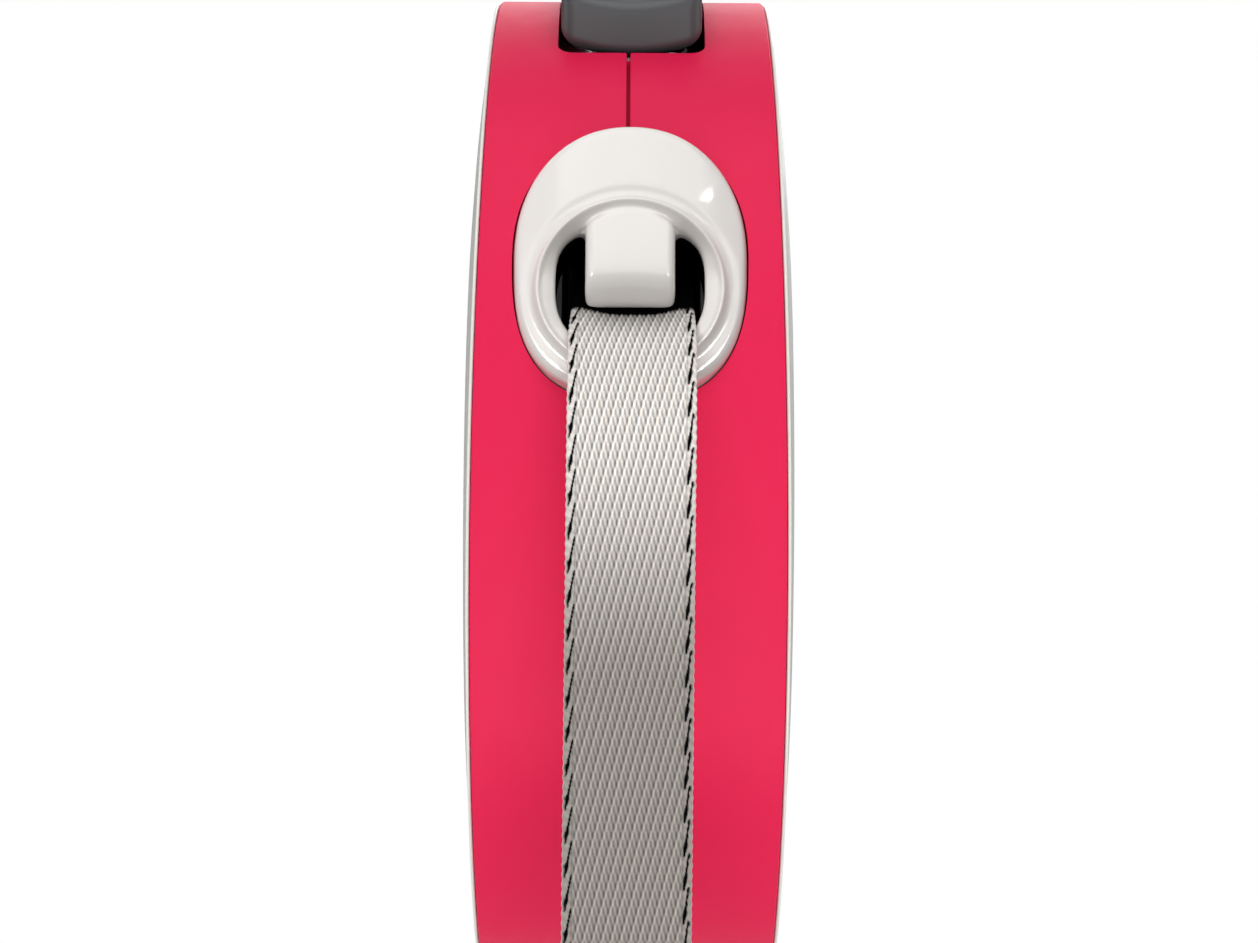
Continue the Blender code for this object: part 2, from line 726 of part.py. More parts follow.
def fasten(left, right):
    """Bosses and holes for the screws, the axle and the pawl pin in the two casing halves."""
    for name, place in SCREWS.items():
        width = width_at(place)
        for half, side in ((left, -1), (right, 1)):
            join(half, x_rod(name + "_boss", place, side * 0.45, side * (width - 1), 3.6, 20))
        cut(left, x_rod(name + "_head", place, -(width - 1.95), -(width + 2), 3.1, 20))
        cut(left, x_rod(name + "_hole", place, 0, -(width + 1), 1.8, 16))
        cut(right, x_rod(name + "_pilot", place, -1, 11.4, 1.8, 16))
    join(left, x_rod("axle_boss_left", (0, 0), -13.7, -17, 7, 28))
    join(right, x_rod("axle_boss_right", (0, 0), 15.3, 17, 7, 28))
    pin_edge = width_at(PAWL_PIVOT) - 1
    join(left, x_rod("pin_boss_left", PAWL_PIVOT, PAWL_X[0] - GAP, -pin_edge, 3.2, 20))
    join(right, x_rod("pin_boss_right", PAWL_PIVOT, 0.45, pin_edge, 3.2, 20))
    axle_bore = x_rod("axle_bore", (0, 0), -(AXLE_HALF + 0.2), AXLE_HALF + 0.2, AXLE_R + GAP, 28)
    pin_bore = x_rod("pin_bore", PAWL_PIVOT, -14.3, 12.3, 1.8, 16)
    spring_shelf = box("spring_shelf", (2, -4, -10), (15.6, 4, -8.5), button_matrix())
    join(right, spring_shelf)
    for half in (left, right):
        cut(half, axle_bore)
        cut(half, pin_bore)


def open_casing(left, right):
    """The window for the nozzle and the slots for the button and the lock."""
    half, reach = BUTTON_HALF
    slot = GAP + 0.05
    tools = [nozzle_window(),
             box("button_slot", (-half - slot, -reach - slot, -5), (half + slot, reach + slot, 9),
                 button_matrix()),
             box("lock_slot", (-5 - slot, -1 - slot, 61.5), (5 + slot, 13.7 + slot, 72))]
    for tool in tools:
        for casing in (left, right):
            cut(casing, tool)


def hang(name, place, pieces):
    """Parent pieces to an empty on their joint's axis."""
    pivot = bpy.data.objects.new(name, None)
    pivot.location = Vector(place) * MM
    pivot.empty_display_size = 0.01
    PARTS.objects.link(pivot)
    bpy.context.view_layer.update()
    for piece in pieces:
        piece.parent = pivot
        piece.matrix_parent_inverse = pivot.matrix_world.inverted()


def move_origin_to_grip():
    """Shift everything, so that the middle of the rear side of the handle opening is at 0, 0, 0."""
    grip = HOLE_CENTRE + HOLE_ACROSS * HOLE_R
    shift = Matrix.Translation(Vector((0, -grip[0], -grip[1])) * MM)
    bpy.context.view_layer.update()
    for obj in bpy.data.objects:
        if obj.parent is None:
            obj.matrix_world = shift @ obj.matrix_world


def build():
    left = casing_half("casing_left", -1)
    right = casing_half("casing_right", 1)
    fasten(left, right)
    open_casing(left, right)
    for name, place in SCREWS.items():
        screw(name, place)
    for name, side in (("left", -1), ("right", 1)):
        side_cover("side_cover_" + name, side)
        badge("badge_" + name, side)
    grip_liner()
    nozzle()
    axle()
    thrust_washer()
    pawl_pin()
    tape_lead()
    button_spring()
    hang("spool_axis", (0, 0, 0), [spool_hub(), spool_flange(), ratchet_wheel(), power_spring(),
                                   spring_cover(), tape_coil()])
    hang("button_axis", BUTTON_CENTRE, [brake_button()])
    hang("lock_axis", (0, 8, 65), [lock_slider()])
    hang("pawl_axis", (0, *PAWL_PIVOT), [brake_pawl()])
    hang("tape_end_axis", (0, CLIP_Y, STOPPER_Z[1]),
         [tape_hanging(), stopper("stopper_front", -1), stopper("stopper_back", 1), end_loop()])
    hang("eye_axis", (0, CLIP_Y, EYE_BAR_Z), [swivel_eye()])
    hang("hook_axis", (0, CLIP_Y, BARREL_Z[1]), [hook_body(), snap_spring()])
    hang("bolt_axis", (0, CLIP_Y, -113), [snap_bolt()])


clear_scene()
PARTS = collection("retractable_leash")
CUTTERS = collection("cutters")
RIM, RIM_INWARD = place_ring_points()
CLIP_Y = tape_path()[-1][0]
build()
move_origin_to_grip()
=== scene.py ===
"""Retractable leash: the finished surfaces, materials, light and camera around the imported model."""

import json
import math

import bmesh
import bpy
import numpy as np
import openvdb
from mathutils import Matrix, Vector


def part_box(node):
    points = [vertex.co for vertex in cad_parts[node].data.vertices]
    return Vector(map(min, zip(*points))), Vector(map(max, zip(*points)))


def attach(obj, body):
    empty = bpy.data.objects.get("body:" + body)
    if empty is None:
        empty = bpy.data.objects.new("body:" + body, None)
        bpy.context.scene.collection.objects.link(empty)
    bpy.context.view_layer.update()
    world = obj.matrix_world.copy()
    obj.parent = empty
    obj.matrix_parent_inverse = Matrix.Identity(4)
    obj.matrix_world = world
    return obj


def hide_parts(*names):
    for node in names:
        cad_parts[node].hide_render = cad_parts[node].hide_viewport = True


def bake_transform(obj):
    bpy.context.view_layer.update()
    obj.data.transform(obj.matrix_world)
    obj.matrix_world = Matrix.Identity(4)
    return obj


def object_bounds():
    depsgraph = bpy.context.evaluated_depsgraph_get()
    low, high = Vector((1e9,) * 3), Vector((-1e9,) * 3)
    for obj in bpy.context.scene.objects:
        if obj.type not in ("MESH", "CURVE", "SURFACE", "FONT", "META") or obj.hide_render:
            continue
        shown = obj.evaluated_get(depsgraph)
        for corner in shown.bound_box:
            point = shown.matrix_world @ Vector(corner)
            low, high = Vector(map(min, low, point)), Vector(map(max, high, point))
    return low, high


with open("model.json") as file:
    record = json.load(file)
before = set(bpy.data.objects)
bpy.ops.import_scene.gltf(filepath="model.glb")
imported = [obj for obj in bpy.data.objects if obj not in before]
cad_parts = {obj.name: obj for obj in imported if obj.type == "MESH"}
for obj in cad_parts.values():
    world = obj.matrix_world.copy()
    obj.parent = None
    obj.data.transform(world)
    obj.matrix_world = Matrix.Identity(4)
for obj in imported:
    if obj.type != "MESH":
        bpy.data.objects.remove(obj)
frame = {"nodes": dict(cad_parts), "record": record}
CAD_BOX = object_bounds()

MM = 0.001
AXLE = (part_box("axle")[0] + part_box("axle")[1]) / 2
CLIP = (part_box("snap_bolt")[0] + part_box("snap_bolt")[1]) / 2

# ---------------------------------------- constants
# Shapes are in millimetres about the axle. The camera and the lights are in metres.

OUTLINE = [(5, -57.3), (25, -57.3), (60, -57.3), (78, -57.3), (92, -56.2), (106, -51.5),
           (119, -37), (122, -14), (118, 12), (110, 36), (94, 55), (68, 65), (38, 67),
           (0, 65.5), (-25, 61.5), (-43, 51), (-53, 34.5), (-57.3, 14), (-56.3, -8),
           (-47.5, -32), (-30.5, -49.5), (-13, -55.8)]
RING_POINTS = 520
SEAM = 0.2
SEAM_AT = -0.35
EDGE_ROUND = 0.22
WALL = 2.2
REEL_HALF_WIDTH = 18.6
GRIP_HALF_WIDTH = 13.4
NARROWING = (40, 85)
CROWN = 0.062
CROWN_CENTRE = -14
CROWN_REACH = 56

HOLE_CENTRE = np.array((80.0, 4.0))
HOLE_TILT = math.radians(10)
HOLE_HALF = 27
HOLE_R = 15
LINER = 2.7
LINER_GAP = 0.3
HOLE_AXIS = np.array((-math.sin(HOLE_TILT), math.cos(HOLE_TILT)))
HOLE_ACROSS = np.array((math.cos(HOLE_TILT), math.sin(HOLE_TILT)))

COVER_RIM = 0.5
COVER_RISE = 1.85
COVER_INSET = 0.9
COVER_LIFT = 0.06
COVER_BORE = 4.2
REEL_RING = 44
GRIP_RING = 11.5
LENS_DROP = 0.75
BADGE_R = 21
BADGE_FACE = 20.97

NOZZLE_CENTRE = Vector((0, -54.5, 30.5))
NOZZLE_TILT = math.radians(17)
PLATE_HALF = 13.75
PLATE_UP = 16.15
PLATE_DOWN = 16.7
PLATE_POWERS = (2.2, 2.7)
WINDOW_GAP = 0.14
RING_CENTRE = -3.7
RING_HALF = 10.95
RING_TALL = 10.2
MOUTH_HALF = 8.75
MOUTH_UP = 7.6
MOUTH_DOWN = 7.9
FUNNEL_DEPTH = 1.3
TONGUE_HALF = 5.42
TONGUE_LOW = -6.5
TONGUE_HIGH = 9.0
TONGUE_FRONT = 3.0
TONGUE_CORNER = 2.1

EXIT = (-56, 23.8)
BEND_R = 18
COIL_R = 45.8
TAPE_HALF = 7.5
TAPE_THICK = 1.0
HANG_END = -65.2
PAST_BEND = 200.0
RIB_PITCH = 1.07
ROW_PITCH = 0.972
TRACER_AT = 6.82
TRACER_PERIOD = 4 * ROW_PITCH
GROUND_HALF = 6.35
TAPE_SWAY = 0.35
# Painted light on the tape's front face: paler high up and dimmer low down, between these heights, as
# if lit from above; the back face keeps a fixed share.
PALE_Z = (-20, 14)
PALE_BACK = 0.55

BUTTON_CENTRE = Vector((0, -22, 61.8))
BUTTON_TILT = math.radians(17.2)

FLOOR_GLOW = 0.38
CAMERA_DISTANCE = 0.600
FRAME_WIDTH = 0.1441
EYE_HEIGHT = 0.0056
CAMERA_ROLL = math.radians(0.34)


# ---------------------------------------- mesh helpers

def to_frame():
    """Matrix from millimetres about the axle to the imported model's metres."""
    return Matrix.Translation(AXLE) @ Matrix.Scale(MM, 4)


def add_object(name, mesh, matrix=None):
    mesh.transform(to_frame() if matrix is None else to_frame() @ matrix)
    mesh.update()
    obj = bpy.data.objects.new(name, mesh)
    bpy.context.scene.collection.objects.link(obj)
    return obj


def mesh_from(name, points, faces):
    """A mesh from arrays, its quads or triangles in one array."""
    mesh = bpy.data.meshes.new(name)
    points = np.asarray(points, np.float32)
    faces = np.asarray(faces, np.int32)
    sides = faces.shape[1]
    mesh.vertices.add(len(points))
    mesh.vertices.foreach_set("co", points.ravel())
    mesh.loops.add(faces.size)
    mesh.loops.foreach_set("vertex_index", faces.ravel())
    mesh.polygons.add(len(faces))
    mesh.polygons.foreach_set("loop_start", np.arange(0, faces.size, sides, dtype=np.int32))
    mesh.polygons.foreach_set("loop_total", np.full(len(faces), sides, np.int32))
    mesh.update(calc_edges=True)
    mesh.validate()
    return mesh


def mesh_of(work, name):
    """The mesh that a bmesh describes; the bmesh is freed."""
    mesh = bpy.data.meshes.new(name)
    work.to_mesh(mesh)
    work.free()
    return mesh


def orient(mesh):
    """Turn every face outward."""
    work = bmesh.new()
    work.from_mesh(mesh)
    bmesh.ops.recalc_face_normals(work, faces=work.faces)
    work.to_mesh(mesh)
    work.free()


def shade(obj, degrees=35):
    obj.data.shade_smooth()
    obj.data.set_sharp_from_angle(angle=math.radians(degrees))
    return obj


def grid_faces(rows, columns, close_rows=True):
    """Quads over a grid of points, wrapped round across it and, if asked, along it."""
    row = np.arange(rows if close_rows else rows - 1)
    r, c = np.meshgrid(row, np.arange(columns), indexing="ij")
    down, right = (r + 1) % rows, (c + 1) % columns
    return np.stack((r * columns + c, r * columns + right, down * columns + right,
                     down * columns + c), axis=-1).reshape(-1, 4)


def loft(name, rings, matrix=None):
    """A closed band through rings of equal count, the last joined to the first."""
    points = np.concatenate(rings)
    mesh = mesh_from(name, points, grid_faces(len(rings), len(rings[0])))
    orient(mesh)
    return add_object(name, mesh, matrix)


def apply_modifiers(obj):
    bpy.context.view_layer.update()
    evaluated = obj.evaluated_get(bpy.context.evaluated_depsgraph_get())
    mesh = bpy.data.meshes.new_from_object(evaluated)
    obj.modifiers.clear()
    obj.data = mesh
    return obj


def cut(obj, tools):
    for tool in tools:
        modifier = obj.modifiers.new("cut", "BOOLEAN")
        modifier.operation = "DIFFERENCE"
        modifier.solver = "EXACT"
        modifier.object = tool
    return apply_modifiers(obj)


def discard(tools):
    for tool in tools:
        bpy.data.objects.remove(tool)


def box(name, low, high, matrix, bevel, segments):
    """A box between two corners, its edges rounded."""
    work = bmesh.new()
    size = [b - a for a, b in zip(low, high)]
    middle = [(a + b) / 2 for a, b in zip(low, high)]
    bmesh.ops.create_cube(work, size=1)
    work.transform(Matrix.Translation(middle) @ Matrix.Diagonal((*size, 1)))
    bmesh.ops.bevel(work, geom=work.edges[:], offset=bevel, segments=segments, profile=0.5,
                    affect="EDGES")
    return add_object(name, mesh_of(work, name), matrix)


def x_disc(name, x_from, x_to, radius, sides=160):
    """A cylinder about the axle."""
    work = bmesh.new()
    bmesh.ops.create_cone(work, cap_ends=True, segments=sides, radius1=radius, radius2=radius,
                          depth=abs(x_to - x_from))
    turn = Matrix.Rotation(math.pi / 2, 4, "Y")
    place = Matrix.Translation(((x_from + x_to) / 2, 0, 0))
    return add_object(name, mesh_of(work, name), place @ turn)


# ---------------------------------------- distance-field modelling

def field_grid(low, high, fine):
    voxel = fine
    axes = [np.arange(a, b + voxel, voxel, dtype=np.float32) for a, b in zip(low, high)]
    return np.meshgrid(*axes, indexing="ij"), voxel


def smooth_min(a, b, k):
    h = np.clip(0.5 + 0.5 * (b - a) / k, 0, 1)
    return b * (1 - h) + a * h - k * h * (1 - h)


def smooth_max(a, b, k):
    return -smooth_min(-a, -b, k)


def mesh_from_field(name, field, low, voxel, matrix=None, painted_shade_and_ink=None):
    """A smooth closed mesh of where the field is below zero, in millimetres."""
    grid = openvdb.FloatGrid(background=3 * voxel)
    grid.copyFromArray(np.clip(field, -3 * voxel, 3 * voxel).astype(np.float32))
    grid.transform = openvdb.createLinearTransform(voxelSize=1.0)
    points, quads = grid.convertToQuads(isovalue=0)
    points = points * voxel + np.array(low, np.float32)
    mesh = mesh_from(name, points, quads)
    # Optional painted shade, one number a vertex, for the material to darken by.
    if painted_shade_and_ink is not None:
        mark(mesh, "painted_shade_and_ink", painted_shade_and_ink(points))
    orient(mesh)
    obj = add_object(name, mesh, matrix)
    obj.data.shade_smooth()
    return obj


def mark(mesh, name, values):
    """Store one number a vertex for a material to read."""
    attribute = mesh.attributes.new(name, "FLOAT", "POINT")
    attribute.data.foreach_set("value", np.asarray(values, np.float32).ravel())


def oval(a, b, half, centre, up, down, power_up=2.0, power_down=2.0):
    """Signed distance, roughly, from an oval with unlike upper and lower halves."""
    rel = b - centre
    tall = np.where(rel > 0, up, down)
    power = np.where(rel > 0, power_up, power_down)
    p = np.abs(a / half) + 1e-6
    q = np.abs(rel / tall) + 1e-6
    total = p**power + q**power
    value = total**(1 / power)
    slope_a = total**(1 / power - 1) * p**(power - 1) / half
    slope_b = total**(1 / power - 1) * q**(power - 1) / tall
    return (value - 1) / np.sqrt(slope_a**2 + slope_b**2)


def rounded_box(x, y, z, centre, half, radius):
    qx = np.abs(x - centre[0]) - half[0] + radius
    qy = np.abs(y - centre[1]) - half[1] + radius
    qz = np.abs(z - centre[2]) - half[2] + radius
    outside = np.sqrt(np.maximum(qx, 0)**2 + np.maximum(qy, 0)**2 + np.maximum(qz, 0)**2)
    return outside + np.minimum(np.maximum(qx, np.maximum(qy, qz)), 0) - radius


def capsule(x, y, z, start, end, r_start, r_end):
    start, end = np.array(start, np.float32), np.array(end, np.float32)
    d = end - start
    t = ((x - start[0]) * d[0] + (y - start[1]) * d[1] + (z - start[2]) * d[2]) / (d @ d)
    t = np.clip(t, 0, 1)
    gap = np.sqrt((x - start[0] - t * d[0])**2 + (y - start[1] - t * d[1])**2
                  + (z - start[2] - t * d[2])**2)
    return gap - (r_start + (r_end - r_start) * t)


def z_cylinder(x, y, z, place, radius, bottom, top, round_edge=0.4):
    side = np.sqrt((x - place[0])**2 + (y - place[1])**2) - radius
    ends = np.maximum(z - top, bottom - z)
    return smooth_max(side, ends, round_edge)


# ---------------------------------------- casing geometry

def catmull_rom(a, b, c, d, t):
    """Points from b to c on a smooth curve whose neighbours are a and d."""
    return 0.5 * (2 * b + (c - a) * t + (2 * a - 5 * b + 4 * c - d) * t**2
                  + (3 * b - a - 3 * c + d) * t**3)


def spline_through(points, per_span=120):
    """A closed Catmull-Rom curve through the points."""
    knots = np.array(points, float)
    before = np.roll(knots, 1, axis=0)
    after = np.roll(knots, -1, axis=0)
    beyond = np.roll(knots, -2, axis=0)
    t = np.linspace(0, 1, per_span, endpoint=False)[None, :, None]
    a, b, c, d = (k[:, None, :] for k in (before, knots, after, beyond))
    return catmull_rom(a, b, c, d, t).reshape(-1, 2)


def soften(curve, passes=420):
    """Even out the curvature of a closed curve."""
    for _ in range(passes):
        curve = curve * 0.5 + (np.roll(curve, 1, axis=0) + np.roll(curve, -1, axis=0)) * 0.25
    return curve


def place_ring_points():
    """Ring points on the outline, spread by length and by angle about the handle opening."""
    curve = soften(spline_through(OUTLINE))
    step = np.roll(curve, -1, axis=0) - curve
    length = np.concatenate(([0], np.cumsum(np.linalg.norm(step, axis=1))))
    spoke = curve - HOLE_CENTRE
    angle = np.unwrap(np.arctan2(spoke[:, 1], spoke[:, 0]))
    angle = np.append(angle, angle[0] + math.tau)
    spread = 0.55 * length / length[-1] + 0.45 * (angle - angle[0]) / math.tau
    wanted = np.arange(RING_POINTS) / RING_POINTS
    where = np.interp(wanted, spread, np.arange(len(curve) + 1))
    index = np.arange(len(curve) + 1)
    closed = np.vstack((curve, curve[:1]))
    points = np.column_stack([np.interp(where, index, closed[:, axis]) for axis in (0, 1)])
    tangent = np.roll(points, -1, axis=0) - np.roll(points, 1, axis=0)
    tangent /= np.linalg.norm(tangent, axis=1)[:, None]
    inward = np.column_stack((-tangent[:, 1], tangent[:, 0]))
    return points, inward


RIM, RIM_INWARD = place_ring_points()


def outline_ring(inset):
    return RIM + RIM_INWARD * inset


def hole_ring(offset):
    """The handle opening grown by an offset, one point on each spoke to the outline."""
    radius = HOLE_R + offset
    spokes = RIM - HOLE_CENTRE
    spokes = spokes / np.linalg.norm(spokes, axis=1)[:, None]
    along = np.abs(spokes @ HOLE_AXIS)
    across = np.abs(spokes @ HOLE_ACROSS)
    to_side = radius / np.maximum(across, 1e-6)
    chord = along * HOLE_HALF
    to_end = chord + np.sqrt(np.maximum(chord**2 - HOLE_HALF**2 + radius**2, 0))
    reach = np.where(to_side * along <= HOLE_HALF, to_side, to_end)
    return HOLE_CENTRE + spokes * reach[:, None]


def half_width(points):
    """Half the casing's width at (y, z) places: full at the reel, narrow at the grip."""
    y, z = points[..., 0], points[..., 1]
    t = np.clip((y - NARROWING[0]) / (NARROWING[1] - NARROWING[0]), 0, 1)
    width = REEL_HALF_WIDTH + (GRIP_HALF_WIDTH - REEL_HALF_WIDTH) * t * t * (3 - 2 * t)
    return width * (1 - CROWN * ((z - CROWN_CENTRE) / CROWN_REACH)**2)


def lifted(points, x, side=1):
    """Place flat ring points at an x distance from the middle plane."""
    return np.column_stack((np.broadcast_to(side * x, len(points)), points))


def mixed(first, last, share):
    return first * (1 - share) + last * share


def casing_half(name, side):
    """One moulded half: an outer wall, a web, a wall round the handle, and their inner faces."""
    edge_x = SEAM + side * SEAM_AT
    rings = [lifted(outline_ring(0.2), edge_x, side),
             lifted(outline_ring(0.05), edge_x + 0.06, side)]
    edge = outline_ring(0)
    for share in np.linspace(0, 1, 7):
        rings.append(lifted(edge, mixed(edge_x + 0.22, half_width(edge) - EDGE_ROUND, share), side))
    for turn in np.linspace(0, math.pi / 2, 5)[1:]:
        ring = outline_ring(EDGE_ROUND * (1 - math.cos(turn)))
        rings.append(lifted(ring, half_width(ring) - EDGE_ROUND * (1 - math.sin(turn)), side))
    top, bore = outline_ring(EDGE_ROUND), hole_ring(LINER + LINER_GAP)
    for share in np.linspace(0, 1, 26)[1:]:
        ring = mixed(top, bore, share)
        rings.append(lifted(ring, half_width(ring), side))
    bore_inner, inner = hole_ring(LINER + LINER_GAP + WALL), outline_ring(WALL)
    rings += [lifted(bore, edge_x, side), lifted(bore_inner, edge_x, side)]
    for share in np.linspace(1, 0, 16):
        ring = mixed(inner, bore_inner, share)
        rings.append(lifted(ring, half_width(ring) - WALL, side))
    rings.append(lifted(inner, edge_x, side))
    return loft(name, rings)


def seam_lip():
    """The tongue that closes the seam from inside, set back behind it."""
    rings = [lifted(outline_ring(inset), x) for inset, x in
             ((1.0, -1.6), (1.0, 1.6), (2.0, 1.6), (2.0, -1.6))]
    lip = loft("casing_seam_lip", rings)
    # Painted shade: the lip is painted about half way to black, as the shade inside the seam.
    mark(lip.data, "painted_shade_and_ink", np.full(len(lip.data.vertices), 0.55))
    return lip


def smooth_step(value):
    value = np.clip(value, 0, 1)
    return value * value * (3 - 2 * value)


def lens_height(radius):
    """The badge's and its surround's height over the middle plane, at a radius from the axle."""
    return BADGE_FACE - LENS_DROP * np.clip(radius / BADGE_R, 0, 1)**2


def hole_distance(points):
    """Distance outside the handle opening's edge."""
    along = np.clip((points - HOLE_CENTRE) @ HOLE_AXIS, -HOLE_HALF, HOLE_HALF)
    return np.linalg.norm(points - HOLE_CENTRE - along[:, None] * HOLE_AXIS, axis=1) - HOLE_R


def cover_surface(ring, share):
    """The cover's outer height over one ring of its web, with its styling grooves."""
    fuller = 1 + 0.16 * np.clip((ring[:, 1] - 10) / 40, -1, 1)
    profile = half_width(ring) + COVER_RIM + COVER_RISE * fuller * math.sin(math.pi * share)**1.1
    radius = np.linalg.norm(ring, axis=1)
    near = smooth_step((REEL_RING - 2 - radius) / (REEL_RING - 2 - BADGE_R))
    height = profile * (1 - near) + lens_height(radius) * near
    height -= 0.42 * np.exp(-np.abs((radius - REEL_RING) / 0.85)**3)
    height -= 0.36 * np.exp(-np.abs((hole_distance(ring) - GRIP_RING) / 0.75)**3)
    saddle = smooth_step((GRIP_RING - 1 - hole_distance(ring)) / 4)
    return height - 0.25 * saddle


def side_cover(name, side):
    """A pale shell with a rolled rim, grooves round the reel and the grip, and a badge seat."""
    first, last = outline_ring(COVER_INSET), hole_ring(COVER_BORE)
    rings = [lifted(first, half_width(first) + COVER_LIFT, side)]
    rim = ((0.45, 0.10), (0.30, 0.22), (0.28, 0.36), (0.36, 0.48), (0.60, COVER_RIM))
    for inset, rise in rim:
        ring = outline_ring(inset)
        rings.append(lifted(ring, half_width(ring) + rise, side))
    steps = 190
    for share in np.linspace(0, 1, steps):
        ring = mixed(first, last, share)
        rings.append(lifted(ring, cover_surface(ring, share), side))
    edge = hole_ring(COVER_BORE - 0.2)
    rings.append(lifted(edge, half_width(edge) + 0.16, side))
    rings.append(lifted(last, half_width(last) + COVER_LIFT, side))
    for share in np.linspace(0.95, 0.05, 24):
        ring = mixed(first, last, share)
        rings.append(lifted(ring, half_width(ring) + COVER_LIFT, side))
    return loft(name, rings)


def turned(name, profile, sides=160):
    """A solid of revolution about the axle from (x, radius) pairs, its ends on the axis."""
    work = bmesh.new()
    poles = [work.verts.new((profile[0][0], 0, 0)), work.verts.new((profile[-1][0], 0, 0))]
    rings = []
    for x, radius in profile[1:-1]:
        turns = [math.tau * step / sides for step in range(sides)]
        rings.append([work.verts.new((x, radius * math.cos(t), radius * math.sin(t)))
                      for t in turns])
    for step in range(sides):
        after = (step + 1) % sides
        work.faces.new((poles[0], rings[0][step], rings[0][after]))
        work.faces.new((poles[1], rings[-1][after], rings[-1][step]))
        for ring, beyond in zip(rings[:-1], rings[1:]):
            work.faces.new((ring[step], beyond[step], beyond[after], ring[after]))
    bmesh.ops.recalc_face_normals(work, faces=work.faces)
    return add_object(name, mesh_of(work, name))


def badge(name, side):
    """A plain crowned disc with a fine ring near its edge."""
    profile = [(side * BADGE_FACE, 0)]
    for radius in np.linspace(1, BADGE_R - 0.4, 56):
        ring = 0.22 * math.exp(-abs((radius - BADGE_R + 3.2) / 0.45)**3)
        profile.append((side * (lens_height(radius) - ring), radius))
    rim = lens_height(BADGE_R)
    profile += [(side * (rim - 0.10), BADGE_R - 0.12), (side * (rim - 0.35), BADGE_R),
                (side * (rim - 0.9), BADGE_R), (side * (rim - 0.9), 0)]
    return shade(turned(name, profile), 50)


def grip_liner():
    """The soft ring inside the handle, with rolled lips and ribs where the fingers close."""
    lip = [(LINER, 0.06), (LINER + 0.7, 0.06), (LINER + 0.6, 0.28), (2.0, 0.55), (0.9, 0.42),
           (0.25, -0.1), (0.0, -1.2)]
    rings = []
    for offset, rise in lip:
        ring = hole_ring(offset)
        rings.append(lifted(ring, half_width(ring) + rise, -1))
    inner = hole_ring(0)
    for share in np.linspace(-0.92, 0.92, 60):
        ribs = 0.22 * np.cos(math.tau * share * 9)**8
        ring = hole_ring(-ribs)
        rings.append(lifted(ring, (half_width(inner) - 1.2) * share))
    for offset, rise in reversed(lip):
        ring = hole_ring(offset)
        rings.append(lifted(ring, half_width(ring) + rise))
    return shade(loft("grip_liner_soft", rings), 60)


# ---------------------------------------- nozzle

def nozzle_matrix():
    return Matrix.Translation(NOZZLE_CENTRE) @ Matrix.Rotation(math.pi / 2 - NOZZLE_TILT, 4, "X")


def mouth_edge(a, b):
    return oval(a, b, MOUTH_HALF, RING_CENTRE, MOUTH_UP, MOUTH_DOWN, 3.4, 2.4)


def plate_edge(a, b):
    return oval(a, b, PLATE_HALF, 0, PLATE_UP, PLATE_DOWN, *PLATE_POWERS)


def nozzle():
    """The mouthpiece: a crowned plate, a beaded ring with a funnel, and a tongue over the tape."""
    low, high = (-14.5, -18.6, -9.6), (14.5, 17.6, 4.0)
    (a, b, c), voxel = field_grid(low, high, 0.12)
    flat_a, flat_b = a[:, :, 0], b[:, :, 0]
    plate, mouth = plate_edge(flat_a, flat_b), mouth_edge(flat_a, flat_b)
    crest = oval(flat_a, flat_b, RING_HALF, RING_CENTRE, RING_TALL, RING_TALL + 0.5)
    crown = 2.8 - 0.0160 * flat_a**2 - 0.0040 * flat_b**2
    moat = 0.14 * np.exp(-((crest - 1.0) / 0.8)**2)
    bead = 0.36 * np.exp(-(crest / 0.40)**2)
    share = np.clip(crest / np.minimum(crest - np.maximum(mouth, 0), -1e-3), 0, 1)
    depth = FUNNEL_DEPTH + 0.9 * np.clip((flat_b - RING_CENTRE) / 8, 0, 1)
    funnel = depth * np.where(crest < 0, share, 0)**1.4
    face = crown - moat + bead - funnel
    slope = np.sqrt(1 + sum(g**2 for g in np.gradient(face, voxel)))
    front = (c - face[:, :, None]) / slope[:, :, None]
    body = smooth_max(front, np.broadcast_to(plate[:, :, None], c.shape), 0.95)
    body = smooth_max(body, np.broadcast_to(-mouth[:, :, None], c.shape), 0.35)
    body = np.maximum(body, -5.0 - c)
    throat = np.maximum(mouth[:, :, None] - 1.4, -mouth[:, :, None])
    throat = np.maximum(throat, np.maximum(c + 3.0, -9.0 - c))
    body = smooth_min(body, throat, 0.3)
    body = smooth_min(body, tongue(a, b, c), 1.3)
    # Painted shade: the inside of the mouth is painted black.
    return mesh_from_field("nozzle_moulding", body, low, voxel, nozzle_matrix(), mouth_shadow)


def mouth_shadow(points):
    """Painted shade inside the mouth: 0 on the face, 1 a little way in, where the colour is painted
    black as though light hardly reaches.
    """
    a, b, c = points.T
    return np.clip((-1.0 - c) / 0.35, 0, 1) * (plate_edge(a, b) < -1)


def tongue(a, b, c):
    """The pad that hangs over the tape, bevelled below and clear of the tape behind."""
    half_tall = (TONGUE_HIGH - TONGUE_LOW) / 2
    middle = (TONGUE_HIGH + TONGUE_LOW) / 2
    depth = (TONGUE_FRONT + 3.0) / 2
    crown = 0.35 * (a / TONGUE_HALF)**2 + 0.012 * (b + 1)**2
    pad = rounded_box(a, b, c + crown, (0, middle, TONGUE_FRONT - depth),
                      (TONGUE_HALF, half_tall, depth), 1.2)
    past_a = np.maximum(np.abs(a) - TONGUE_HALF + TONGUE_CORNER, 0)
    past_b = np.maximum(TONGUE_LOW + TONGUE_CORNER - b, 0)
    pad = smooth_max(pad, np.hypot(past_a, past_b) - TONGUE_CORNER, 0.6)
    bevel = (c - TONGUE_FRONT) * 0.70 - (b + 3.5) * 0.714
    pad = smooth_max(pad, bevel, 0.8)
    behind = 0.95 - ((b + 6.84) * 0.736 + (c + 0.52) * 0.677)
    pad = smooth_max(pad, behind, 0.3)
    upper_end = b - (RING_CENTRE + RING_TALL - 1.2 - 0.06 * a**2)
    return smooth_max(pad, upper_end, 0.8)


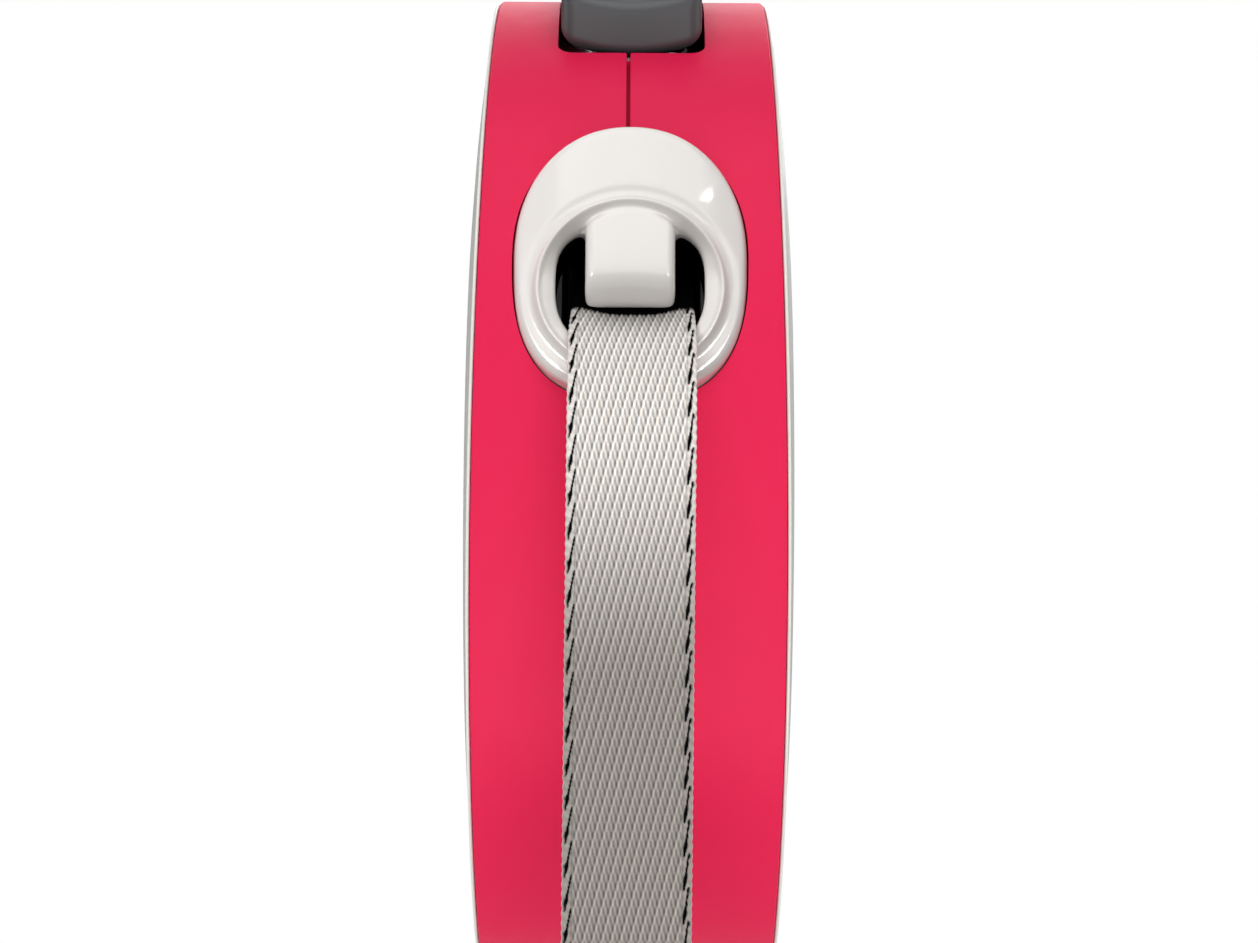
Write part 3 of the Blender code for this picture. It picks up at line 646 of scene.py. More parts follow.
def nozzle_window():
    """The opening for the nozzle in the casing, a hair wider than the plate."""
    turns = np.linspace(0, math.tau, 160, endpoint=False)
    across, up = np.cos(turns), np.sin(turns)
    power = np.where(up > 0, *PLATE_POWERS)
    reach = (np.abs(across)**power + np.abs(up)**power)**(-1 / power)
    tall = np.where(up > 0, PLATE_UP, PLATE_DOWN) + WINDOW_GAP
    x, y = (PLATE_HALF + WINDOW_GAP) * across * reach, tall * up * reach
    work = bmesh.new()
    bottom = [work.verts.new((p, q, -9)) for p, q in zip(x, y)]
    top = [work.verts.new((p, q, 8)) for p, q in zip(x, y)]
    for step in range(len(bottom)):
        after = (step + 1) % len(bottom)
        work.faces.new((bottom[step], bottom[after], top[after], top[step]))
    work.faces.new(bottom[::-1])
    work.faces.new(top)
    bmesh.ops.recalc_face_normals(work, faces=work.faces)
    return add_object("nozzle_window", mesh_of(work, "nozzle_window"), nozzle_matrix())


# ---------------------------------------- woven tape

def weave(x, up):
    """Relief, painted shade and highlight of the weave, and tracer of the tape's face, from the place
    across and up the tape.
    """
    row = up / ROW_PITCH
    rib = x / RIB_PITCH - row / 4
    slant = np.cos(2 * math.tau * rib - 0.42)
    cross = np.cos(math.tau * (2 * rib + row))
    floats = -0.58 * slant - 0.56 * cross
    floats *= 1.3 - 0.3 * floats**2
    groove = np.cos(math.tau * rib + 0.75)
    groove -= 0.35 * np.cos(3 * math.tau * rib + 1.2)
    relief = 0.055 * floats - 0.034 * groove
    # Painted shade and highlight: darker grooves and lighter floats, following the relief.
    painted_weave_shade = 0.79 + 0.45 * floats - 0.22 * groove
    inside = np.clip((GROUND_HALF - np.abs(x)) / 0.2, 0, 1)
    side = np.where(x < 0, -1, 1)
    beads = np.cos(math.tau * (up / 1.15 + x * 0.5))
    trench = np.exp(-((np.abs(x) - GROUND_HALF - 0.02) / 0.10)**2)
    relief = relief * inside + (0.03 * beads - 0.10 * trench) * (1 - inside)
    # Edges: lighter beads and a darker trench, also painted shade and highlight.
    painted_weave_shade = painted_weave_shade * inside + (0.92 + 0.10 * beads - 0.35 * trench) * (1 - inside)
    turn = up / TRACER_PERIOD + np.where(side > 0, 0.35, 0.0)
    tracer = np.zeros_like(relief)
    lean = np.where(side > 0, 0.50, 0.74)
    for ahead in (-1, 0, 1):
        share = turn - np.floor(turn) - ahead
        line = side * TRACER_AT + lean * (share - 0.5)
        half = 0.13 + 0.12 * np.exp(-((share - 0.28) / 0.16)**2)
        ends = np.clip((share + 0.10) / 0.10, 0, 1) * np.clip((1.12 - share) / 0.10, 0, 1)
        mark_here = ends * np.clip(1.5 - np.abs(x - line) / half, 0, 1)
        tracer = np.maximum(tracer, mark_here)
    return relief + 0.06 * tracer, painted_weave_shade, tracer


def bend_path():
    """Where the tape leaves the coil, as (y, z), and how steeply it falls to the nozzle."""
    reach = math.hypot(*EXIT)
    contact = math.atan2(EXIT[1], EXIT[0]) - math.acos(COIL_R / reach)
    start = (COIL_R * math.cos(contact), COIL_R * math.sin(contact))
    fall = math.atan2(start[1] - EXIT[1], start[0] - EXIT[0])
    return start, fall


def tape_line(lengths):
    """Places and outward normals at lengths from the coil, and the whole length."""
    start, fall = bend_path()
    straight = math.dist(start, EXIT)
    arc = BEND_R * (math.pi / 2 - fall)
    on_arc = np.clip(lengths - straight, 0, arc) / BEND_R
    heading = fall + on_arc
    first = np.clip(lengths, 0, straight)
    last = np.maximum(lengths - straight - arc, 0)
    middle = (EXIT[0] + BEND_R * math.sin(fall), EXIT[1] - BEND_R * math.cos(fall))
    y = np.where(lengths < straight, start[0] - first * math.cos(fall),
                 middle[0] - BEND_R * np.sin(heading))
    z = np.where(lengths < straight, start[1] - first * math.sin(fall),
                 middle[1] + BEND_R * np.cos(heading)) - last
    normal = np.column_stack((-np.sin(heading), np.cos(heading)))
    total = straight + arc + (middle[1] - HANG_END)
    return np.column_stack((y, z)), normal, total


def clip_line():
    """The y of the hanging tape, which the stopper, the eye and the hook share."""
    return tape_line(np.array([PAST_BEND]))[0][0][0]


def woven_strip(name, places, normals, lengths, across):
    """A closed tape: relief on both faces, rounded edges, and attributes for its painted weave shade
    and highlight, its painted shade with the tracer's ink, and its painted lighting fade.
    """
    rim = np.linspace(-math.pi / 2, math.pi / 2, 5)[1:-1]
    half = TAPE_THICK / 2
    flat = TAPE_HALF - 0.35
    face_x = np.linspace(-flat, flat, across)
    columns = [(x, 1) for x in face_x]
    columns += [(flat + 0.35 * math.cos(t), -math.sin(t)) for t in rim]
    columns += [(x, -1) for x in face_x[::-2]]
    columns += [(-flat - 0.35 * math.cos(t), math.sin(t)) for t in rim]
    column_x = np.array([x for x, _ in columns])
    column_n = np.array([n for _, n in columns])
    up = -lengths
    x_grid, up_grid = np.meshgrid(column_x, up)
    relief, painted_weave_shade, tracer = weave(x_grid, up_grid)
    height = column_n * (half - 0.06) + relief * np.sign(column_n) * (np.abs(column_n) > 0.99)
    edge_wave = 1 + 0.006 * np.cos(math.tau * up_grid / 1.12) * (np.abs(x_grid) > flat - 0.2)
    points = np.empty((len(lengths), len(columns), 3))
    sway = TAPE_SWAY * np.clip((places[:, 1] + 50) / 80, 0, 1)
    squeeze = 1 - 0.045 * smooth_step((places[:, 1] - 20.5) / 5.5)
    points[:, :, 0] = x_grid * edge_wave * squeeze[:, None] + sway[:, None]
    points[:, :, 1:] = places[:, None, :] + normals[:, None, :] * height[:, :, None]
    rows, count = len(lengths), len(columns)
    mesh = mesh_from(name, points.reshape(-1, 3), grid_faces(rows, count, close_rows=False))
    work = bmesh.new()
    work.from_mesh(mesh)
    work.verts.ensure_lookup_table()
    work.faces.new([work.verts[i] for i in range(count)][::-1])
    work.faces.new([work.verts[(rows - 1) * count + i] for i in range(count)])
    work.to_mesh(mesh)
    work.free()
    # The weave's painted shade and highlight, stored for the material.
    mark(mesh, "painted_weave_shade", painted_weave_shade)
    # Painted shade: the tape is painted black inside the mouth, reaching lower where the tongue roofs
    # it, and painted darker just below the tongue as its cast shade; the tracer's black ink rides on
    # the same attribute.
    depth = np.repeat(places[:, :1], count, axis=1)
    roofed = np.exp(-(np.abs(x_grid) / 4.8)**4)
    deep = np.clip((depth + 55.9 + 1.8 * roofed) / 1.2, 0, 1)
    under = (0.25 + 0.4 * roofed) * np.clip((depth + 61.2) / 4.2, 0, 1)**1.5
    inked = np.clip((tracer - 0.35) / 0.3, 0, 1)
    mark(mesh, "painted_shade_and_ink", np.maximum(np.maximum(deep, under), inked))
    # Painted light: the front face is paler high up and dimmer low down, as if lit from above; the
    # back face keeps a fixed mid share.
    pale = smooth_step((places[:, 1] - PALE_Z[0]) / (PALE_Z[1] - PALE_Z[0]))
    front = normals[:, :1] * column_n < 0
    mark(mesh, "pale", np.where(front, pale[:, None], PALE_BACK))
    orient(mesh)
    obj = add_object(name, mesh)
    obj.data.shade_smooth()
    return obj


def tape():
    """The tape from the coil, through the nozzle and over the bend, down to the stopper."""
    total = tape_line(np.array([0.0]))[2]
    step = 0.11
    across = 151
    lengths = np.concatenate((np.arange(0, 34, 1.5), np.arange(34, total, step), [total]))
    places, normals, _ = tape_line(lengths)
    return woven_strip("tape", places, normals, lengths, across)


def end_loop():
    """The tape's end, turned round the swivel's bar and clamped by the stopper."""
    bar_z, turn_r, close = -82.7, 2.45, 0.62
    leg_top, leg_bottom = -60.0, bar_z
    clip_y = clip_line()
    lean = turn_r - close
    step = 0.2
    leg = leg_top - leg_bottom
    arc = math.pi * turn_r
    lengths = np.arange(0, 2 * leg + arc, step)
    places = np.empty((len(lengths), 2))
    normals = np.empty((len(lengths), 2))
    for index, s in enumerate(lengths):
        if s < leg or s > leg + arc:
            side = -1 if s < leg else 1
            fall = s if s < leg else 2 * leg + arc - s
            share = fall / leg
            spread = close + lean * share * share * (3 - 2 * share)
            places[index] = (clip_y + side * spread, leg_top - fall)
            normals[index] = (side, 0)
        else:
            t = (s - leg) / turn_r
            normals[index] = (-math.cos(t), -math.sin(t))
            places[index] = (clip_y - turn_r * math.cos(t), bar_z - turn_r * math.sin(t))
    return woven_strip("end_loop_tape", places, normals, lengths, 101)


# ---------------------------------------- controls

def button_matrix():
    return Matrix.Translation(BUTTON_CENTRE) @ Matrix.Rotation(BUTTON_TILT, 4, "X")


def brake_button():
    """A thumb pad, dished along its length and ribbed across."""
    low, high = (-9.5, -16, -4), (9.5, 16, 7)
    (x, y, z), voxel = field_grid(low, high, 0.16)
    dish = 0.9 * (1 - np.clip((y - 1) / 11, -1, 1)**2) - 0.03 * x**2
    ribs = 0.28 * np.clip(np.cos(math.tau * y / 2.6), -0.2, 1)
    ribs *= (np.abs(y - 1) < 9.3) * (np.abs(x) < 6.2)
    pad = rounded_box(x, y, z + dish * 0.8 - ribs, (0, 0, 1.5), (8.5, 14.9, 3.5), 1.8)
    well = np.maximum(np.hypot(x - 4.5, y) - 2.9, z - 2.0)
    pad = smooth_max(pad, -well, 0.2)
    return mesh_from_field("brake_button_pad", pad, low, voxel, button_matrix())


def lock_slider():
    """The lock's knob, with three ribs across its top."""
    low, high = (-6, 1.5, 61), (6, 15, 71.5)
    (x, y, z), voxel = field_grid(low, high, 0.14)
    body = rounded_box(x, y, z, (0, 8.35, 65.45), (5, 5.35, 2.85), 0.8)
    for middle in (5.6, 8.3, 11.0):
        rib = rounded_box(x, y, z, (0, middle, 68.2), (3.9, 0.55, 1.1), 0.5)
        body = smooth_min(body, rib, 0.5)
    return mesh_from_field("lock_slider_knob", body, low, voxel)


def stopper():
    """The two-part clamp on the tape: a rounded block with a parting line and a slot."""
    clip_y = clip_line()
    low, high = (-11.5, clip_y - 5, -67.5), (11.5, clip_y + 5, -52)
    (x, y, z), voxel = field_grid(low, high, 0.15)
    halves = []
    for name, side in (("stopper_front_shell", -1), ("stopper_back_shell", 1)):
        rel = side * (y - clip_y)
        body = rounded_box(x, rel, z, (0, 0, -59.75), (10, 3.49, 5.75), 1.6)
        body = np.maximum(body, 0.08 - rel)
        slot = rounded_box(x, rel, z, (0, 0, -60), (7.75, 0.75, 12), 0.3)
        leg_slot = rounded_box(x, rel, z, (0, 0, -66), (7.75, 1.35, 4.5), 0.3)
        body = smooth_max(body, -np.minimum(slot, leg_slot), 0.25)
        panel = rounded_box(x, rel, z, (0, 3.6, -59.75), (6.8, 0.5, 3.2), 0.4)
        body = smooth_max(body, -panel, 0.3)
        halves.append(mesh_from_field(name, body, low, voxel))
    return halves


# ---------------------------------------- swivel and hook

def swivel_eye():
    """The D-shaped eye with its collar and the peened stem that turns in the hook."""
    cy = clip_line()
    low, high = (-12, cy - 5, -102), (12, cy + 5, -79.5)
    (x, y, z), voxel = field_grid(low, high, 0.14)
    corners = [(-9.5, -82.7), (9.5, -82.7), (9.6, -88.6), (4.0, -93.2), (-4.0, -93.2),
               (-9.6, -88.6)]
    body = None
    for index, (ax, az) in enumerate(corners):
        bx, bz = corners[(index + 1) % len(corners)]
        bar = capsule(x, y, z, (ax, cy, az), (bx, cy, bz), 1.55, 1.55)
        body = bar if body is None else smooth_min(body, bar, 0.9)
    collar = z_cylinder(x, y, z, (0, cy), 3.5, -97.9, -92.2, 1.0)
    body = smooth_min(body, collar, 1.2)
    neck = np.sqrt(x**2 + (y - cy)**2) - 3.5
    waist = np.abs(z + 95.6) - 0.5
    body = smooth_max(body, -np.maximum(-neck - 0.5, waist), 0.3)
    stem = z_cylinder(x, y, z, (0, cy), 1.7, -100.6, -95, 0.3)
    return mesh_from_field("swivel_eye_casting", np.minimum(body, stem), low, voxel)


def hook_body():
    """A cast bolt snap: a barrel with a slot, and a hook whose tip meets the bolt."""
    cy = clip_line()
    low, high = (-6.5, cy - 6, -140), (19, cy + 6, -97)
    (x, y, z), voxel = field_grid(low, high, 0.15)
    body = z_cylinder(x, y, z, (0, cy), 4.3, -116, -98.3, 0.8)
    bead = z_cylinder(x, y, z, (0, cy), 4.75, -116.2, -114.4, 0.9)
    body = smooth_min(body, bead, 0.6)
    body = smooth_min(body, z_cylinder(x, y, z, (0, cy), 4.75, -100.4, -98.3, 0.9), 0.6)
    path = hook_path()
    for (start, r_start), (end, r_end) in zip(path[:-1], path[1:]):
        link = capsule(x, y, z, (start[0], cy, start[1]), (end[0], cy, end[1]), r_start, r_end)
        body = smooth_min(body, link, 0.7)
    mouth = np.maximum(-128.15 - z, np.maximum(z + 117, np.abs(x) - 3.4))
    body = np.maximum(body, -mouth)
    bore = np.sqrt(x**2 + (y - cy)**2) - 2.1
    bore = np.maximum(bore, -(z + 118))
    slot = rounded_box(x, y, z, (0, cy - 4, -109.4), (1.5, 4, 5.2), 1.2)
    body = smooth_max(body, -np.minimum(bore, slot), 0.25)
    return mesh_from_field("hook_casting", body, low, voxel)


def hook_path():
    """Middle line and radius of the hook's arm, from the barrel round to its tip."""
    knots = np.array([(2.4, -103.5), (8.5, -105.6), (13.4, -112), (14.9, -121.5), (11.8, -131),
                      (5.8, -135.2), (1.0, -132.8), (0.0, -128.6)])
    radii = np.array([2.6, 2.4, 2.25, 2.3, 2.45, 2.4, 2.2, 2.0])
    count = 40
    where = np.linspace(0, len(knots) - 1, count)
    lower = np.clip(where.astype(int), 0, len(knots) - 2)
    t = (where - lower)[:, None]
    padded = np.vstack((2 * knots[0] - knots[1], knots, 2 * knots[-1] - knots[-2]))
    a, b, c, d = (padded[lower + shift] for shift in range(4))
    curve = catmull_rom(a, b, c, d, t)
    radius = np.interp(where, np.arange(len(knots)), radii)
    return list(zip(curve.tolist(), radius.tolist()))


def snap_bolt():
    """The bolt, with its knob and a hollow upper end that takes the spring."""
    cy = clip_line()
    low, high = (-3.2, cy - 9.2, -129), (3.2, cy + 3.2, -107)
    (x, y, z), voxel = field_grid(low, high, 0.12)
    bolt = z_cylinder(x, y, z, (0, cy), 1.8, -127.8, -116.0, 0.4)
    bolt = np.minimum(bolt, z_cylinder(x, y, z, (0, cy), 2.03, -117.0, -109, 0.1))
    stalk = capsule(x, y, z, (0, cy, -113), (0, cy - 5.6, -113), 1.15, 1.15)
    knob = np.sqrt(x**2 + (z + 113)**2) - 2.1
    knob = smooth_max(knob, np.maximum(y - (cy - 5.0), (cy - 7.0) - y), 0.5)
    body = smooth_min(np.minimum(bolt, stalk), knob, 0.4)
    hollow = np.maximum(np.hypot(x, y - cy) - 1.74, np.abs(z + 112) - 4.2)
    return mesh_from_field("snap_bolt_pin", np.maximum(body, -hollow), low, voxel)


# ---------------------------------------- materials

def new_material(name, colour, roughness, metallic=0.0):
    material = bpy.data.materials.new(name)
    material.use_nodes = True
    shader = material.node_tree.nodes["Principled BSDF"]
    shader.inputs["Base Color"].default_value = (*colour, 1)
    shader.inputs["Roughness"].default_value = roughness
    shader.inputs["Metallic"].default_value = metallic
    return material, material.node_tree, shader


def noise(tree, scale, detail=3.0, coordinates=None):
    node = tree.nodes.new("ShaderNodeTexNoise")
    node.inputs["Scale"].default_value = scale
    node.inputs["Detail"].default_value = detail
    if coordinates is None:
        coordinates = tree.nodes.new("ShaderNodeTexCoord").outputs["Object"]
    tree.links.new(coordinates, node.inputs["Vector"])
    return node.outputs["Fac"]


def span(tree, value, low, high, from_low=0.0, from_high=1.0):
    node = tree.nodes.new("ShaderNodeMapRange")
    node.inputs["From Min"].default_value = from_low
    node.inputs["From Max"].default_value = from_high
    node.inputs["To Min"].default_value = low
    node.inputs["To Max"].default_value = high
    tree.links.new(value, node.inputs["Value"])
    return node.outputs["Result"]


def bump(tree, shader, height, distance):
    node = tree.nodes.new("ShaderNodeBump")
    node.inputs["Distance"].default_value = distance
    node.inputs["Strength"].default_value = 1.0
    tree.links.new(height, node.inputs["Height"])
    tree.links.new(node.outputs["Normal"], shader.inputs["Normal"])


def attribute(tree, name):
    node = tree.nodes.new("ShaderNodeAttribute")
    node.attribute_name = name
    return node.outputs["Fac"]


def mix_colours(tree, factor, first, second, blend="MIX"):
    """A mix of two colours, where each value is a number, a colour or another node's output."""
    node = tree.nodes.new("ShaderNodeMix")
    node.data_type = "RGBA"
    node.blend_type = blend
    for name, value in (("Factor", factor), ("A", first), ("B", second)):
        if isinstance(value, bpy.types.NodeSocket):
            tree.links.new(value, node.inputs[name])
        else:
            node.inputs[name].default_value = value
    return node.outputs["Result"]


def plastic(name, colour, roughness, grain=0.0, grain_size=2600, shift=0.04, coat=0.0,
            specular=0.5):
    """Moulded plastic: a fine grain, slow colour and gloss variation, an optional gloss, and painted
    shade where the mesh marks it.
    """
    material, tree, shader = new_material(name, colour, roughness)
    slow = noise(tree, 60, 2)
    lighter = tuple(min(1, c * (1 + shift) + shift * 0.02) for c in colour)
    darker = tuple(c * (1 - shift) for c in colour)
    tree.links.new(mix_colours(tree, slow, (*darker, 1), (*lighter, 1)), shader.inputs["Base Color"])
    gloss = span(tree, noise(tree, 350, 4), roughness - 0.05, roughness + 0.06)
    tree.links.new(gloss, shader.inputs["Roughness"])
    if grain:
        bump(tree, shader, noise(tree, grain_size, 2), grain)
    shader.inputs["Coat Weight"].default_value = coat
    shader.inputs["Coat Roughness"].default_value = 0.05
    shade_hollow(tree, shader, specular)
    return material


def shade_hollow(tree, shader, specular=0.5):
    """Let the colour and gloss fall away to black where the mesh's painted-shade attribute says so:
    painted shade where light would hardly reach, and on the tape also the tracer's real black ink.
    """
    painted_shade_and_ink = attribute(tree, "painted_shade_and_ink")
    colour = shader.inputs["Base Color"].links[0].from_socket
    dark = mix_colours(tree, painted_shade_and_ink, colour, (0.002, 0.002, 0.002, 1))
    tree.links.new(dark, shader.inputs["Base Color"])
    shader.inputs["Specular IOR Level"].default_value = specular
    for name in ("Specular IOR Level", "Sheen Weight", "Coat Weight"):
        most = shader.inputs[name].default_value
        tree.links.new(span(tree, painted_shade_and_ink, most, 0.0), shader.inputs[name])


def metal(name, colour, roughness, scratch=0.000004):
    material, tree, shader = new_material(name, colour, roughness, 1.0)
    gloss = span(tree, noise(tree, 500, 5), roughness * 0.7, roughness * 1.5)
    tree.links.new(gloss, shader.inputs["Roughness"])
    bump(tree, shader, noise(tree, 900, 3), scratch)
    return material


def webbing(name):
    """Woven polyester: pale threads and black tracers, with painted shade and highlight over the
    weave, painted shade inside the mouth and under the tongue, and a painted lighting fade that dims
    the front lower down.
    """
    colour, painted_dim_colour = (0.90, 0.85, 0.80), (0.340, 0.307, 0.279)
    material, tree, shader = new_material(name, colour, 0.6)
    coordinates = tree.nodes.new("ShaderNodeTexCoord").outputs["Object"]
    # Painted light: the thread colour fades to a dim colour lower down on the front, a lighting
    # falloff painted in.
    base = mix_colours(tree, attribute(tree, "pale"), (*painted_dim_colour, 1), (*colour, 1))
    fibres = noise(tree, 4500, 3, coordinates)
    speckle = span(tree, fibres, 0.90, 1.08, 0.3, 0.7)
    # Painted shade and highlight of the weave, times a random fibre speckle, scale the thread colour.
    product = tree.nodes.new("ShaderNodeMath")
    product.operation = "MULTIPLY"
    tree.links.new(attribute(tree, "painted_weave_shade"), product.inputs[0])
    tree.links.new(speckle, product.inputs[1])
    tint = tree.nodes.new("ShaderNodeCombineColor")
    for channel in ("Red", "Green", "Blue"):
        tree.links.new(product.outputs["Value"], tint.inputs[channel])
    yarn_and_painted_light = mix_colours(tree, 1.0, base, tint.outputs["Color"], "MULTIPLY")
    tree.links.new(yarn_and_painted_light, shader.inputs["Base Color"])
    bump(tree, shader, fibres, 0.00002)
    shader.inputs["Sheen Weight"].default_value = 0.25
    shade_hollow(tree, shader)
    return material


def make_materials():
    """One material for each slot, by the slot's name."""
    red = (0.80, 0.010, 0.078)
    return {
        "casing_plastic": plastic("red_satin_plastic", red, 0.5, 0.00001, 3200, 0.03,
                                  specular=0.2),
        "cover_plastic": plastic("pale_grey_plastic", (0.80, 0.815, 0.77), 0.32, 0.000005, 2600),
        "badge_plastic": plastic("off_white_plastic", (0.80, 0.79, 0.77), 0.25, 0.0, 2600, 0.02),
        "nozzle_plastic": plastic("gloss_white_plastic", (0.79, 0.755, 0.725), 0.16, 0.000002,
                                  1500, 0.015, 0.6),
        "grip_rubber": plastic("soft_grip_rubber", (0.050, 0.052, 0.056), 0.68, 0.00003, 2400),
        "control_plastic": plastic("dark_satin_plastic", (0.055, 0.057, 0.062), 0.42, 0.00001,
                                   2600),
        "reel_plastic": plastic("natural_plastic", (0.42, 0.42, 0.41), 0.5, 0.00001),
        "ratchet_plastic": plastic("black_plastic", (0.02, 0.02, 0.022), 0.5, 0.00001),
        "tape_webbing": webbing("woven_tape"),
        "spring_steel": metal("spring_steel", (0.50, 0.51, 0.53), 0.32),
        "plated_steel": metal("zinc_plated_steel", (0.58, 0.59, 0.61), 0.30),
        "hook_chrome": metal("chrome_plate", (0.72, 0.72, 0.73), 0.14),
    }


# ---------------------------------------- assembly

def finish_piece(obj, body, slot, *nodes):
    obj.data.materials.clear()
    obj.data.materials.append(MATERIALS[slot])
    if body:
        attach(obj, body)
    if nodes:
        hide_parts(*nodes)
    return obj


def build_casing():
    left, right = casing_half("casing_left_shell", -1), casing_half("casing_right_shell", 1)
    tools = [nozzle_window(),
             box("button_slot", (-8.9, -15.3, -5), (8.9, 15.3, 9), button_matrix(), 1.8, 6),
             box("lock_slot", (-5.4, -1.4, 61.9), (5.4, 14.1, 72), None, 0.9, 4)]
    lip = seam_lip()
    for piece in (left, right, lip):
        shade(cut(piece, tools), 30)
    discard(tools)
    finish_piece(left, "casing", "casing_plastic", "casing_left")
    finish_piece(right, "casing", "casing_plastic", "casing_right")
    finish_piece(lip, "casing", "casing_plastic")


def build_covers():
    for name, side in (("left", -1), ("right", 1)):
        cover = side_cover("side_cover_" + name + "_shell", side)
        floor = side * (lens_height(BADGE_R) - 1.0)
        recess = x_disc("recess", floor, side * (BADGE_FACE + 4), BADGE_R + 0.22)
        shade(cut(cover, [recess]), 30)
        discard([recess])
        finish_piece(cover, "casing", "cover_plastic", "side_cover_" + name)
        plate = badge("badge_" + name + "_disc", side)
        finish_piece(plate, "casing", "badge_plastic", "badge_" + name)


def build_tape():
    strip = tape()
    finish_piece(strip, None, "tape_webbing", "tape_lead", "tape_hanging")
    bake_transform(strip)
    finish_piece(end_loop(), "tape_end", "tape_webbing", "end_loop")
    front, back = stopper()
    finish_piece(front, "tape_end", "casing_plastic", "stopper_front")
    finish_piece(back, "tape_end", "casing_plastic", "stopper_back")


def paint_cad_nodes():
    """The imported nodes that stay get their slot's material."""
    slots = {entry["node"]: entry["material_slot"] for entry in frame["record"]["subparts"]}
    for name, obj in frame["nodes"].items():
        obj.data.materials.clear()
        obj.data.materials.append(MATERIALS[slots[name]])


def area_light(name, place, size, power):
    """A light at a place in metres from the axle, turned towards it."""
    data = bpy.data.lights.new(name, "AREA")
    data.shape = "RECTANGLE"
    data.size, data.size_y = size
    data.energy = power
    light = bpy.data.objects.new(name, data)
    light.location = AXLE + Vector(place)
    light.rotation_euler = (AXLE - light.location).to_track_quat("-Z", "Y").to_euler()
    bpy.context.scene.collection.objects.link(light)
    return light


def build_world():
    """White behind the object, and a dimmer grey sky that lights it and shows in its gloss."""
    world = bpy.data.worlds.new("studio")
    bpy.context.scene.world = world
    world.use_nodes = True
    tree = world.node_tree
    tree.nodes.clear()
    seen = tree.nodes.new("ShaderNodeBackground")
    seen.inputs["Color"].default_value = (1, 1, 1, 1)
    seen.inputs["Strength"].default_value = 1.0
    fill = tree.nodes.new("ShaderNodeBackground")
    fill.inputs["Strength"].default_value = 1.0
    direction = tree.nodes.new("ShaderNodeTexCoord").outputs["Generated"]
    split = tree.nodes.new("ShaderNodeSeparateXYZ")
    tree.links.new(direction, split.inputs["Vector"])
    path = tree.nodes.new("ShaderNodeLightPath")
    brightness = tree.nodes.new("ShaderNodeMix")
    height = split.outputs["Z"]
    tree.links.new(path.outputs["Is Glossy Ray"], brightness.inputs["Factor"])
    tree.links.new(span(tree, height, 0.13, 0.32, -0.7, 0.7), brightness.inputs["A"])
    tree.links.new(span(tree, height, 0.12, 1.3, 0.30, 0.42), brightness.inputs["B"])
    tree.links.new(brightness.outputs["Result"], fill.inputs["Color"])
    mix = tree.nodes.new("ShaderNodeMixShader")
    out = tree.nodes.new("ShaderNodeOutputWorld")
    tree.links.new(path.outputs["Is Camera Ray"], mix.inputs["Fac"])
    tree.links.new(fill.outputs["Background"], mix.inputs[1])
    tree.links.new(seen.outputs["Background"], mix.inputs[2])
    tree.links.new(mix.outputs["Shader"], out.inputs["Surface"])


def build_light():
    """Soft boxes on every side, and small lights that only the nozzle takes."""
    area_light("top_box", (0.0, -0.55, 0.8), (1.0, 0.8), 4.0)
    front = area_light("front_box", (-0.25, -1.2, -0.10), (1.0, 0.9), 3.2)
    right = area_light("right_box", (0.35, -1.2, -0.10), (0.6, 0.9), 1.95)
    below = area_light("low_box", (0.0, -0.9, -0.9), (1.0, 0.6), 4.4)
    area_light("back_box", (0.3, 1.2, 0.5), (1.0, 0.8), 4.0)
    beside = [area_light(name, (x, 0.0, 0.0), (0.6, 0.9), 2.4)
              for name, x in (("left_side_box", -1.0), ("right_side_box", 1.0))]
    mouth_boxes = [area_light("mouth_box", (-0.70, -0.62, 0.62), (0.5, 0.4), 3.8),
                   area_light("mouth_fill", (0.10, -0.95, 0.25), (0.5, 0.5), 0.8)]
    glints = [area_light("glint_shoulder", (0.507, -0.638, 0.681), (0.08, 0.016), 0.10),
              area_light("glint_left", (-0.528, -0.812, 0.419), (0.20, 0.14), 1.3),
              area_light("glint_right", (0.528, -0.812, 0.419), (0.20, 0.14), 1.3)]
    nozzle_only = bpy.data.objects["nozzle_moulding"]
    for light in (*mouth_boxes, *glints):
        link_light(light, nozzle_only, "INCLUDE")
    for light in mouth_boxes:
        light.visible_glossy = False
    for light in glints:
        light.visible_diffuse = False
    for light in (front, right, below, *beside):
        link_light(light, nozzle_only, "EXCLUDE")
    for light in (front, below):
        link_light(light, bpy.data.objects["tape"], "EXCLUDE", "blocker_collection")


def link_light(light, obj, state, role="receiver_collection"):
    """Limit a light to an object, or keep it off it, or let it pass through it."""
    linked = bpy.data.collections.new(light.name + "_" + role)
    linked.objects.link(obj)
    for member in linked.collection_objects:
        member.light_linking.link_state = state
    setattr(light.light_linking, role, linked)


